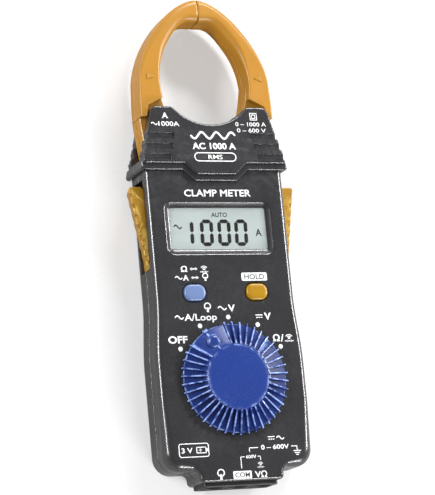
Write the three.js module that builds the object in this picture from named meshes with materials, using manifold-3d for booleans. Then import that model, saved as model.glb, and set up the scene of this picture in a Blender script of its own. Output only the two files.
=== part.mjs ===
// A hand-held clamp meter, lying on its back, in millimetres.
// +X points right of the display, +Y from the sockets to the jaw tips and +Z out of the display.
// While it is built, Y is counted from the socket end; the finished group is centred in Y at the end.
// Right-hand pieces are drawn, and left-hand ones are their mirror images.
import * as THREE from "three";
import { mergeVertices } from "three/addons/utils/BufferGeometryUtils.js";
import Module from "manifold-3d";

const wasm = await Module();
wasm.setup();

// ---- Driving sizes ----

const LENGTH = 181; // socket end to jaw tips
const BODY_DEPTH = 16; // back face to display face
const BODY_HALF = 26.9; // half width beside the display
const LOWER_BULGE = 1.5; // how much wider the body is beside the dial, each side
const WALL = 1.8; // casing wall
const SEAM_GAP = 0.2;
const FIT = 0.15; // clearance between a piece and the opening it sits in
const REST_GAP = 0.1; // between pieces stacked on one another

const SHOULDER_Y = 5.8; // lower edge of the body beside the tongue
const CORNER_R = 6.5;
const TONGUE_HALF = 16;
const TONGUE_END = 1.5;

const WINDOW_HALF = 17.5; // half width of the conductor window
const WINDOW_RISE = 24.2; // from the window's widest place to its top
const WINDOW_POWER = 1.88; // 2 would be an ellipse; less is more pointed
const BAND = 8; // jaw width beside the window
const TIP_BAND = 8.8; // jaw width at its tips
const ARCH_POWER = 1.65;
const JAW_DROP = 1; // jaw front below the display face
const JAW_BACK = 3.5; // jaw back above the body's back
const JAW_CHAMFER = 1.6;
const JAW_WALL = 1.2;
const JAW_SPLIT = 0.1; // half the gap between the jaw tips
const ARM_BACK = 4; // back of the thin arm that the collar covers
const ARM_DROP = 3.8; // front of that arm below the display face
const TAIL_DROP = 5; // front of the tail below the display face

const PIVOT_X = 6;
const PIVOT_BELOW = WINDOW_HALF + 10.5; // pivot below the window's widest place
const PIVOT_R = 2;
const BOSS_R = 4.8;
const RUNNING = 0.1; // radial clearance of a piece that turns on a pin

const COLLAR_RISE = 2.6; // collar above the display face at its lower edge
const COLLAR_SLOPE = 0.07; // the collar gets lower towards its horns
const COLLAR_BEVEL = 0.9;
const PLATE_DROP = 3.3; // underside of the front plate below the display face
const REAR_PLATE = 3.3;
const COLLAR_WALL = 1.5;
const COLLAR_OVERHANG = 1.8; // collar beyond the body, each side, at its lower edge
const NOTCH_R = WINDOW_HALF - 0.1;
const GROOVE_DEPTH = 0.8;
const GROOVE_WIDTH = 2;
const GROOVE_PITCH = 4;
const GROOVE_START_X = 14.8; // inner end of the highest groove
const GROOVES_BELOW = 19.7; // highest groove below the window's widest place

const LEVER_REACH = 5.7; // lever's upper end beyond the body's side
const LEVER_TAIL = 0.7; // lever's lower end beyond the body's side
const LEVER_BACK = 3.8;
const LEVER_DROP = 3.8; // lever's front below the display face
const LEVER_TOP_BELOW = 38.5; // lever's upper end below the window's widest place
const LEVER_LENGTH = 30;
const LEVER_PIN_R = 1.2;
const LEVER_NOTCHES = 7;

const DIAL_Y = 38;
const DIAL_R = 19.6;
const DIAL_DISC_R = 11.3;
const DIAL_RISE = 4.6; // disc above the display face
const DIAL_SHAFT_R = 5.5;
const DIAL_RIBS = 38;
const DIAL_POINTER_DEG = 30; // pointer to the left of straight up, as it lies
const DIAL_BARE_DEG = 46; // stretch without ribs, centred on the pointer
const POINTER_R = 2.6;
const POINTER_OUT = 15; // pointer ball from the dial's axis
const ROTOR_R = 13.5;
const ROTOR_BORE_R = 2.5;
const WIPER_RING = [7, 11.5]; // inner and outer radius of the sliding contact
const DETENT_GAP = 0.7; // rotor to detent spring
const BUZZER_R = 8;

const BUTTON_X = 12;
const BUTTON_Y = 69.4;
const BUTTON_HALF = [4.1, 3];
const BUTTON_RISE = 1;
const BUTTON_FLANGE = 0.8;
const BUTTON_TRAVEL = 0.8;

const SCREEN_HALF = [18.6, 7.7];
const SCREEN_BELOW = 54.8; // screen centre below the window's widest place
const SCREEN_RECESS = 1.3;
const SCREEN_BEVEL = 2.1;
const SCREEN_LAP = 1.4; // window pane hidden behind the opening's edge
const PANE = 0.9;
const LCD = 1.6;

const BOARD_DROP = 5.6; // board's front below the display face
const BOARD = 1.2;
const BOARD_HALF = 19.2;
const BOARD_START = 19.5;

const SOCKET_PITCH = 9.2;
const SOCKET_R = 4.1;
const SOCKET_DEPTH = 13;
const CONTACT_R = 2.6;
const CONTACT_BORE_R = 2;
const CONTACT_START = 7;
const BLOCK_LENGTH = 17;
const BLOCK_HALF = [14.2, 5.8];

const CELL_R = 10;
const CELL = 3.2;
const CELL_Y = 62;
const COVER_HALF = [CELL_R + 3, CELL_R + 6];
const SCREW_R = 1.1;
const SCREW_HEAD_R = 2.2;
const SCREW_BOSS_R = 2.6;
const SCREW_SETBACK = 3.9; // screw axis inside the casing's side

// ---- Places worked out from them ----

const SEAM_Z = BODY_DEPTH / 2; // where front and rear casings meet
const WINDOW_Y = LENGTH - WINDOW_RISE - TIP_BAND;
const PIVOT_Y = WINDOW_Y - PIVOT_BELOW;
const JAW_HALF = WINDOW_HALF + BAND;
const JAW_FRONT = BODY_DEPTH - JAW_DROP;
const ARM_FRONT = BODY_DEPTH - ARM_DROP;
const JAW_SEAM = (ARM_BACK + ARM_FRONT) / 2;
const STEP_Y = WINDOW_Y - 4.8; // where the thick jaw meets its thin arm, at the window
const FLANK_Y = WINDOW_Y - 12.8; // where it does on its outer side
const CASING_END = PIVOT_Y - 4;
const COLLAR_START = CASING_END - 1.6;
const TAB_START = COLLAR_START - 2.1;
const LEVER_TOP = WINDOW_Y - LEVER_TOP_BELOW;
const LEVER_FOOT = LEVER_TOP - LEVER_LENGTH;
const LEVER_PIN_X = BODY_HALF - 3.9;
const LEVER_PIN_Y = LEVER_FOOT + 3.5;
const LEVER_FRONT = BODY_DEPTH - LEVER_DROP;
const NOSE_X = BODY_HALF - 3.1; // where the lever pushes on the jaw's tail
const NOSE_Y = LEVER_TOP - 4;
const TAIL_X = NOSE_X - 0.4;
const TAIL_END = NOSE_Y - 2.2;
const SCREEN_Y = WINDOW_Y - SCREEN_BELOW;
const SCREEN_PANE_HALF = SCREEN_HALF.map((half) => half + SCREEN_LAP);
const INNER_FRONT = BODY_DEPTH - WALL;
const PANE_FRONT = BODY_DEPTH - SCREEN_RECESS - REST_GAP;
const LCD_FRONT = PANE_FRONT - PANE - REST_GAP;
const BOARD_FRONT = BODY_DEPTH - BOARD_DROP;
const BOARD_BACK = BOARD_FRONT - BOARD;
const BOARD_END = TAIL_END - 7;
const SOCKET_Z = BODY_DEPTH / 2;
const SCREW_ROWS = [SHOULDER_Y + CORNER_R + 3, BUTTON_Y + 4];
const FAR = 400; // longer than anything here, for cutting

// ---- Finishes ----

const finish = (color, roughness, metalness = 0) =>
  new THREE.MeshStandardMaterial({ color, roughness, metalness });

const CHARCOAL = finish(0x3d3d41, 0.55);
const YELLOW = finish(0xd99a32, 0.45);
const LEVER_YELLOW = finish(0xd09a1c, 0.45);
const BLUE = finish(0x2f46a3, 0.5);
const PALE_BLUE = finish(0x7f9ad6, 0.4);
const AMBER = finish(0xd09a14, 0.4);
const CLEAR = finish(0xe8eeee, 0.1);
const LCD_GREY = finish(0xc9d4d2, 0.3);
const BLACK = finish(0x1a1a1c, 0.6);
const BOARD_GREEN = finish(0x1f5a34, 0.5);
const RUBBER = finish(0x2b2b2d, 0.9);
const STEEL = finish(0x9a9ca0, 0.35, 1);
const SPRING_STEEL = finish(0xb8babd, 0.3, 1);
const BRASS = finish(0xc8a34a, 0.3, 1);
const COPPER = finish(0xb06a3a, 0.35, 1);
const WHITE = finish(0xe6e4dc, 0.6);

// ---- Solids: three.js makes the shapes, manifold-3d joins and cuts them ----

/** A closed solid from a three.js geometry. */
function solidOf(geometry) {
  const bare = geometry.index ? geometry.toNonIndexed() : geometry.clone();
  bare.deleteAttribute("normal");
  bare.deleteAttribute("uv");
  const merged = mergeVertices(bare, 1e-4);
  const corners = [];
  for (let i = 0; i < merged.index.count; i += 3) {
    const [a, b, c] = merged.index.array.slice(i, i + 3);
    if (a !== b && b !== c && c !== a) corners.push(a, b, c);
  }
  const build = (triVerts) =>
    new wasm.Manifold(
      new wasm.Mesh({
        numProp: 3,
        vertProperties: merged.attributes.position.array,
        triVerts: new Uint32Array(triVerts),
      }),
    );
  const solid = build(corners);
  return solid.volume() < 0 ? build(corners.reverse()) : solid;
}

/** The three.js geometry of a solid. */
function geometryOf(solid) {
  const mesh = solid.getMesh();
  const positions = new Float32Array(mesh.numVert * 3);
  for (let i = 0; i < mesh.numVert; i++) {
    const start = i * mesh.numProp;
    positions.set(mesh.vertProperties.subarray(start, start + 3), i * 3);
  }
  const geometry = new THREE.BufferGeometry();
  geometry.setAttribute("position", new THREE.BufferAttribute(positions, 3));
  geometry.setIndex(new THREE.BufferAttribute(mesh.triVerts, 1));
  geometry.computeVertexNormals();
  return geometry;
}

const join = (...solids) => solids.reduce((whole, piece) => whole.add(piece));
const cut = (solid, ...tools) => tools.reduce((rest, tool) => rest.subtract(tool), solid);

/** A box between two corners. */
function block([x0, x1], [y0, y1], [z0, z1]) {
  const box = new THREE.BoxGeometry(x1 - x0, y1 - y0, z1 - z0);
  return solidOf(box.translate((x0 + x1) / 2, (y0 + y1) / 2, (z0 + z1) / 2));
}

/** A box that is symmetric about X = 0. */
const slab = (half, ySpan, zSpan) => block([-half, half], ySpan, zSpan);

/** A round bar along Z. */
function rodZ(x, y, [z0, z1], radius, sides = 20) {
  const bar = new THREE.CylinderGeometry(radius, radius, z1 - z0, sides).rotateX(Math.PI / 2);
  return solidOf(bar.translate(x, y, (z0 + z1) / 2));
}

/** A round bar along Y. */
function rodY(x, z, [y0, y1], radius, sides = 20) {
  const bar = new THREE.CylinderGeometry(radius, radius, y1 - y0, sides);
  return solidOf(bar.translate(x, (y0 + y1) / 2, z));
}

/** A solid of revolution about the vertical line through (x, y), from [radius, z] points. */
function turned(profile, x, y, sides = 24) {
  const points = profile.map(([r, z]) => new THREE.Vector2(r, z));
  const shape = new THREE.LatheGeometry(points, sides).rotateX(Math.PI / 2);
  return solidOf(shape.translate(x, y, 0));
}

/** An outline without the points that lie on a straight line between their neighbours. */
function withoutStraightPoints(outline) {
  const count = outline.length;
  return outline.filter(([x, y], i) => {
    const [ax, ay] = outline[(i + count - 1) % count];
    const [bx, by] = outline[(i + 1) % count];
    return Math.abs((x - ax) * (by - y) - (y - ay) * (bx - x)) > 1e-5;
  });
}

/** An outline raised straight up between two heights. */
function prism(outline, [z0, z1]) {
  const shape = new THREE.Shape(withoutStraightPoints(outline).map(([x, y]) => new THREE.Vector2(x, y)));
  const raised = new THREE.ExtrudeGeometry(shape, { depth: z1 - z0, bevelEnabled: false });
  return solidOf(raised.translate(0, 0, z0));
}

/** A counter-clockwise outline moved inwards by a distance, corner by corner. */
function inset(outline, distance) {
  const count = outline.length;
  const normal = (i) => {
    const [ax, ay] = outline[i % count];
    const [bx, by] = outline[(i + 1) % count];
    const length = Math.hypot(bx - ax, by - ay);
    return [(by - ay) / length, (ax - bx) / length];
  };
  return outline.map(([x, y], i) => {
    const [ax, ay] = normal(i + count - 1);
    const [bx, by] = normal(i);
    const spread = 1 + ax * bx + ay * by;
    return [x - (distance * (ax + bx)) / spread, y - (distance * (ay + by)) / spread];
  });
}

/** A solid whose outline changes with height: each level is [z, how far the outline is inset]. */
function layered(outline, levels) {
  const corner = withoutStraightPoints(outline);
  const count = corner.length;
  const rings = levels.map(([, distance]) => inset(corner, distance));
  const positions = rings.flatMap((ring, level) => ring.flatMap(([x, y]) => [x, y, levels[level][0]]));
  const faces = [];
  for (let level = 0; level + 1 < levels.length; level++) {
    for (let i = 0; i < count; i++) {
      const a = level * count + i;
      const b = level * count + ((i + 1) % count);
      faces.push(a, b, b + count, a, b + count, a + count);
    }
  }
  const cap = (ring, first, flip) => {
    const points = ring.map(([x, y]) => new THREE.Vector2(x, y));
    for (const face of THREE.ShapeUtils.triangulateShape(points, [])) {
      const [a, b, c] = flip ? [face[0], face[2], face[1]] : face;
      faces.push(first + a, first + b, first + c);
    }
  };
  cap(rings[0], 0, true);
  cap(rings.at(-1), (levels.length - 1) * count, false);
  const geometry = new THREE.BufferGeometry();
  geometry.setAttribute("position", new THREE.Float32BufferAttribute(positions, 3));
  geometry.setIndex(faces);
  return solidOf(geometry);
}

/** Points of an arc about (cx, cy), both ends included. */
function arc(cx, cy, radius, fromDeg, toDeg, steps) {
  return Array.from({ length: steps + 1 }, (_, i) => {
    const angle = THREE.MathUtils.degToRad(fromDeg + ((toDeg - fromDeg) * i) / steps);
    return [cx + radius * Math.cos(angle), cy + radius * Math.sin(angle)];
  });
}

/** A counter-clockwise rectangle about (x, y) with rounded corners. */
function roundedRectangle(x, y, [halfX, halfY], radius, steps = 3) {
  const insideX = halfX - radius;
  const insideY = halfY - radius;
  return [
    ...arc(x + insideX, y + insideY, radius, 0, 90, steps),
    ...arc(x - insideX, y + insideY, radius, 90, 180, steps),
    ...arc(x - insideX, y - insideY, radius, 180, 270, steps),
    ...arc(x + insideX, y - insideY, radius, 270, 360, steps),
  ];
}

/** Closes a counter-clockwise right half outline, bottom to top, with its mirror image. */
function symmetric(rightHalf) {
  const left = rightHalf.filter(([x]) => x > 0).map(([x, y]) => [-x, y]);
  return [...rightHalf, ...left.reverse()];
}

/** A quarter of a superellipse about the window's centre, from its side to its top. */
function archCurve(halfWidth, rise, power, steps) {
  return Array.from({ length: steps + 1 }, (_, i) => {
    const angle = (Math.PI / 2) * (i / steps);
    const x = halfWidth * Math.abs(Math.cos(angle)) ** (2 / power);
    return [i === steps ? 0 : x, WINDOW_Y + rise * Math.sin(angle) ** (2 / power)];
  });
}

// ---- Assembly ----

const meter = new THREE.Group();

/** Adds a piece as a named mesh. */
function add(name, solid, material, parent = meter) {
  const mesh = new THREE.Mesh(geometryOf(solid), material);
  mesh.name = name;
  parent.add(mesh);
  return mesh;
}

/** The two sides of the meter: what a right-hand piece is called, and the group that mirrors it. */
function sides() {
  return [1, -1].map((sign) => {
    const group = new THREE.Group();
    group.scale.x = sign;
    meter.add(group);
    return { side: sign > 0 ? "right" : "left", sign, group };
  });
}

// ---- Casing ----

/** Half width of the casing at a distance from the socket end. */
function casingHalf(y) {
  return BODY_HALF + LOWER_BULGE * (1 - THREE.MathUtils.smoothstep(y, DIAL_Y + 6, BUTTON_Y - 1));
}

/** The casing's outline at its widest level, tongue included, up to a given end. */
function casingOutline(end) {
  const lowerHalf = casingHalf(0);
  const cornerY = SHOULDER_Y + CORNER_R;
  const stations = [DIAL_Y + 6, DIAL_Y + 12, DIAL_Y + 18, BUTTON_Y - 6, BUTTON_Y - 1];
  return symmetric([
    [TONGUE_HALF - 1.7, TONGUE_END],
    [TONGUE_HALF, TONGUE_END + 1.7],
    ...arc(TONGUE_HALF + 2.2, SHOULDER_Y - 2.2, 2.2, 170, 90, 3),
    ...arc(lowerHalf - CORNER_R, cornerY, CORNER_R, -90, 0, 5),
    ...stations.map((y) => [casingHalf(y), y]),
    [BODY_HALF, end],
  ]);
}

const CASING_LEVELS = [
  [0, 2.2],
  [0.7, 1],
  [2.2, 0],
  [BODY_DEPTH - 2.2, 0],
  [BODY_DEPTH - 0.6, 0.5],
  [BODY_DEPTH, 1.3],
];

/** What the casing halves are cut from, and the hollow that both share. */
function casingBlank() {
  const outer = layered(casingOutline(CASING_END), CASING_LEVELS);
  const hollow = cut(
    prism(inset(casingOutline(CASING_END + FAR), WALL), [WALL, INNER_FRONT]),
    slab(FAR, [-1, SHOULDER_Y + WALL], [-1, BODY_DEPTH + 1]),
  );
  return { outer, hollow };
}

/** The slots that the side levers swing in. */
function leverSlots() {
  const inside = LEVER_PIN_X - 3.5;
  const ySpan = [LEVER_FOOT - 0.8, LEVER_TOP + 2.4];
  const zSpan = [LEVER_BACK - 0.3, LEVER_FRONT + 0.3];
  return join(block([inside, FAR], ySpan, zSpan), block([-FAR, -inside], ySpan, zSpan));
}

const screwX = (y) => casingHalf(y) - SCREW_SETBACK;
const screwPlaces = SCREW_ROWS.flatMap((y) => [
  [screwX(y), y],
  [-screwX(y), y],
]);
const leverPinPlaces = [
  [LEVER_PIN_X, LEVER_PIN_Y],
  [-LEVER_PIN_X, LEVER_PIN_Y],
];
const terminalBlockHole = slab(
  BLOCK_HALF[0] + FIT,
  [-1, BLOCK_LENGTH + 2],
  [SOCKET_Z - BLOCK_HALF[1] - FIT, SOCKET_Z + BLOCK_HALF[1] + FIT],
);

function addFrontCasing() {
  const { outer, hollow } = casingBlank();
  const bottom = SEAM_Z + SEAM_GAP / 2;
  const bosses = [
    ...screwPlaces.map(([x, y]) => rodZ(x, y, [bottom, INNER_FRONT + 0.5], SCREW_BOSS_R, 14)),
    ...leverPinPlaces.map(([x, y]) =>
      rodZ(x, y, [LEVER_FRONT + 0.3, INNER_FRONT + 0.5], LEVER_PIN_R + 1.2, 14),
    ),
  ];
  const shell = cut(
    outer,
    slab(FAR, [-FAR, FAR], [-FAR, bottom]),
    hollow,
    leverSlots(),
    slab(FAR, [CASING_END - REST_GAP, FAR], [-FAR, FAR]),
  );
  const screen = roundedRectangle(0, SCREEN_Y, SCREEN_HALF, 0.8);
  const pocket = SCREEN_PANE_HALF.map((half) => half + FIT);
  const buttonHole = [BUTTON_HALF[0] + 0.3, BUTTON_HALF[1] + 0.3];
  const holes = [
    layered(screen, [
      [BODY_DEPTH - 4, 0],
      [BODY_DEPTH - SCREEN_RECESS, 0],
      [BODY_DEPTH + 0.02, -SCREEN_BEVEL],
    ]),
    slab(pocket[0], [SCREEN_Y - pocket[1], SCREEN_Y + pocket[1]], [0, BODY_DEPTH - SCREEN_RECESS]),
    rodZ(0, DIAL_Y, [0, FAR], DIAL_SHAFT_R + 0.3, 24),
    ...[-BUTTON_X, BUTTON_X].map((x) =>
      layered(roundedRectangle(x, BUTTON_Y, buttonHole, buttonHole[1] - 0.3, 4), [
        [BODY_DEPTH - 4, 0],
        [BODY_DEPTH - 0.5, 0],
        [BODY_DEPTH + 0.02, -0.5],
      ]),
    ),
    ...screwPlaces.map(([x, y]) => rodZ(x, y, [0, INNER_FRONT - 1], SCREW_R + 0.05, 14)),
    ...leverPinPlaces.map(([x, y]) => rodZ(x, y, [0, INNER_FRONT - 0.2], LEVER_PIN_R + 0.05, 14)),
    terminalBlockHole,
  ];
  add("front_casing", cut(join(shell, ...bosses), ...holes), CHARCOAL);
}

function addRearCasing() {
  const { outer, hollow } = casingBlank();
  const top = SEAM_Z - SEAM_GAP / 2;
  const posts = [
    [14, 27],
    [14, BOARD_END - 5],
  ].flatMap(([x, y]) => [x, -x].map((px) => rodZ(px, y, [WALL - 0.5, BOARD_BACK - REST_GAP], 1.6, 12)));
  const bosses = [
    ...screwPlaces.map(([x, y]) => rodZ(x, y, [WALL - 0.5, top], SCREW_BOSS_R, 14)),
    ...leverPinPlaces.map(([x, y]) => rodZ(x, y, [WALL - 0.5, LEVER_BACK - 0.3], LEVER_PIN_R + 1.2, 14)),
  ];
  const shell = cut(
    outer,
    slab(FAR, [-FAR, FAR], [top, FAR]),
    hollow,
    leverSlots(),
    slab(FAR, [CASING_END - REST_GAP, FAR], [-FAR, FAR]),
  );
  const hatch = roundedRectangle(0, CELL_Y, [COVER_HALF[0] + FIT, COVER_HALF[1] + FIT], 2);
  const holes = [
    prism(hatch, [-1, WALL + 1]),
    ...screwPlaces.map(([x, y]) => rodZ(x, y, [-1, FAR], SCREW_R + 0.05, 14)),
    ...screwPlaces.map(([x, y]) => rodZ(x, y, [-1, 2.6], SCREW_HEAD_R + 0.2, 14)),
    ...leverPinPlaces.map(([x, y]) => rodZ(x, y, [1, FAR], LEVER_PIN_R + 0.05, 14)),
    terminalBlockHole,
  ];
  const ledge = coverScrewPost();
  add("rear_casing", join(cut(join(shell, ...bosses, ...posts), ...holes), ledge), CHARCOAL);
}

const COVER_THICKNESS = 1.4;
const COVER_SCREW_Y = CELL_Y - COVER_HALF[1] + 3.2;

/** The post behind the battery hatch that the cover's screw bites into, on its cross bar. */
function coverScrewPost() {
  const bar = slab(COVER_HALF[0] + 2, [COVER_SCREW_Y - 2.4, COVER_SCREW_Y + 2.4], [WALL, WALL + 1.2]);
  const post = rodZ(0, COVER_SCREW_Y, [WALL, WALL + 5], 2.4, 14);
  return cut(join(bar, post), rodZ(0, COVER_SCREW_Y, [WALL - 1, WALL + 4.4], SCREW_R + 0.05, 14));
}

function screw(x, y, head, tip) {
  return turned(
    [
      [0, head],
      [SCREW_HEAD_R, head],
      [SCREW_HEAD_R, head + 1],
      [SCREW_R, head + 1.5],
      [SCREW_R, tip - 0.8],
      [0.3, tip],
      [0, tip],
    ],
    x,
    y,
    14,
  );
}

function addFasteners() {
  const names = ["lower_right", "lower_left", "upper_right", "upper_left"];
  screwPlaces.forEach(([x, y], i) => {
    const slot = block([x - 1.5, x + 1.5], [y - 0.3, y + 0.3], [0, 1.5]);
    add("case_screw_" + names[i], cut(screw(x, y, 0.9, INNER_FRONT - 1.5), slot), STEEL);
  });
}

function addBatteryParts() {
  const coverOutline = roundedRectangle(0, CELL_Y, COVER_HALF, 1.9);
  const cover = cut(
    layered(coverOutline, [
      [0, 0.3],
      [0.3, 0],
      [COVER_THICKNESS, 0],
    ]),
    rodZ(0, COVER_SCREW_Y, [-1, FAR], SCREW_R + 0.15, 14),
    turned(
      [
        [0, -1],
        [SCREW_HEAD_R + 0.2, -1],
        [SCREW_HEAD_R + 0.2, 0.65],
        [SCREW_R + 0.1, 1.2],
        [0, 1.2],
      ],
      0,
      COVER_SCREW_Y,
      14,
    ),
  );
  add("battery_cover", cover, CHARCOAL);
  const coverScrew = turned(
    [
      [0, 0.1],
      [SCREW_HEAD_R, 0.1],
      [SCREW_HEAD_R, 0.5],
      [SCREW_R, 1.1],
      [SCREW_R, 5.2],
      [0.3, 5.8],
      [0, 5.8],
    ],
    0,
    COVER_SCREW_Y,
    14,
  );
  const driverSlot = block([-1.5, 1.5], [COVER_SCREW_Y - 0.3, COVER_SCREW_Y + 0.3], [-1, 0.45]);
  add("battery_cover_screw", cut(coverScrew, driverSlot), STEEL);

  const cellBottom = COVER_THICKNESS + 0.4;
  const cell = turned(
    [
      [0, cellBottom],
      [CELL_R - 0.3, cellBottom],
      [CELL_R, cellBottom + 0.3],
      [CELL_R, cellBottom + CELL - 0.6],
      [CELL_R - 1.4, cellBottom + CELL],
      [0, cellBottom + CELL],
    ],
    0,
    CELL_Y,
    24,
  );
  add("coin_cell", cell, STEEL);
  const contactTop = BOARD_BACK - REST_GAP;
  const negativeZ = cellBottom + CELL + REST_GAP;
  add(
    "battery_contact_negative",
    join(
      slab(2, [CELL_Y - 6, CELL_Y + 9], [negativeZ, negativeZ + 0.3]),
      slab(2, [CELL_Y + 8.7, CELL_Y + 9], [negativeZ, contactTop]),
    ),
    BRASS,
  );
  add(
    "battery_contact_positive",
    join(
      block([CELL_R + FIT, CELL_R + FIT + 0.3], [CELL_Y - 4, CELL_Y + 4], [cellBottom, contactTop]),
      block([CELL_R + FIT, CELL_R + 3], [CELL_Y - 1.5, CELL_Y + 1.5], [contactTop - 0.3, contactTop]),
    ),
    BRASS,
  );
}

// ---- Sockets ----

const SOCKETS = [
  ["sensor_contact", -SOCKET_PITCH],
  ["com_contact", 0],
  ["volt_contact", SOCKET_PITCH],
];

function addSockets() {
  const span = [SOCKET_Z - BLOCK_HALF[1], SOCKET_Z + BLOCK_HALF[1]];
  const blank = slab(BLOCK_HALF[0], [0, BLOCK_LENGTH], span);
  const holes = SOCKETS.flatMap(([, x]) => [
    rodY(x, SOCKET_Z, [-1, SOCKET_DEPTH], SOCKET_R, 20),
    rodY(x, SOCKET_Z, [0, BLOCK_LENGTH + 1], CONTACT_R + 0.05, 16),
  ]);
  add("terminal_block", cut(blank, ...holes), BLACK);
  for (const [name, x] of SOCKETS) {
    const tube = rodY(x, SOCKET_Z, [CONTACT_START, BLOCK_LENGTH + 1.5], CONTACT_R, 16);
    add(name, cut(tube, rodY(x, SOCKET_Z, [0, SOCKET_DEPTH + 1], CONTACT_BORE_R, 16)), BRASS);
  }
}

// ---- Board, display and buttons ----

function addBoardAndDisplay() {
  add("main_board", slab(BOARD_HALF, [BOARD_START, BOARD_END], [BOARD_BACK, BOARD_FRONT]), BOARD_GREEN);
  const [paneX, paneY] = SCREEN_PANE_HALF;
  add(
    "display_window",
    slab(paneX, [SCREEN_Y - paneY, SCREEN_Y + paneY], [PANE_FRONT - PANE, PANE_FRONT]),
    CLEAR,
  );
  const lcdX = paneX - 0.8;
  const lcdY = paneY - 0.6;
  const lcdBack = LCD_FRONT - LCD;
  add("lcd_panel", slab(lcdX, [SCREEN_Y - lcdY, SCREEN_Y + lcdY], [lcdBack, LCD_FRONT]), LCD_GREY);
  const holder = cut(
    slab(paneX, [SCREEN_Y - paneY, SCREEN_Y + paneY], [lcdBack - 0.8, LCD_FRONT]),
    slab(lcdX + FIT, [SCREEN_Y - lcdY - FIT, SCREEN_Y + lcdY + FIT], [0, FAR]),
  );
  add("lcd_holder", holder, BLACK);
  const stripY = SCREEN_Y - lcdY + 1.6;
  add(
    "elastomer_strip",
    slab(lcdX - 2, [stripY - 0.8, stripY + 0.8], [BOARD_FRONT + REST_GAP, lcdBack - REST_GAP]),
    RUBBER,
  );
  add("buzzer_disc", rodZ(0, DIAL_Y - 8, [WALL + REST_GAP, WALL + 0.7], BUZZER_R, 24), BRASS);
}

const DOME = 0.5;

function addButton(name, x, material) {
  const flangeFront = INNER_FRONT - REST_GAP;
  const flange = roundedRectangle(x, BUTTON_Y, [BUTTON_HALF[0] + 1, BUTTON_HALF[1] + 1], 2.4);
  const bottom = BOARD_FRONT + DOME + BUTTON_TRAVEL + REST_GAP + FIT;
  const cap = layered(roundedRectangle(x, BUTTON_Y, BUTTON_HALF, BUTTON_HALF[1] - 0.3, 4), [
    [flangeFront - BUTTON_FLANGE, 0],
    [BODY_DEPTH + BUTTON_RISE - 0.6, 0],
    [BODY_DEPTH + BUTTON_RISE - 0.15, 0.35],
    [BODY_DEPTH + BUTTON_RISE, 0.9],
  ]);
  const stem = rodZ(x, BUTTON_Y, [bottom, flangeFront], 1.5, 12);
  add(name, join(cap, prism(flange, [flangeFront - BUTTON_FLANGE, flangeFront]), stem), material);
}

function addButtons() {
  addButton("select_button", -BUTTON_X, PALE_BLUE);
  addButton("hold_button", BUTTON_X, AMBER);
  for (const [name, x] of [
    ["select_dome", -BUTTON_X],
    ["hold_dome", BUTTON_X],
  ]) {
    const base = BOARD_FRONT + REST_GAP;
    const dome = turned(
      [
        [0, base],
        [2.6, base],
        [2.6, base + 0.15],
        [1.2, base + DOME - REST_GAP],
        [0, base + DOME - REST_GAP],
      ],
      x,
      BUTTON_Y,
      16,
    );
    add(name, dome, SPRING_STEEL);
  }
}

// ---- Dial ----

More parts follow.
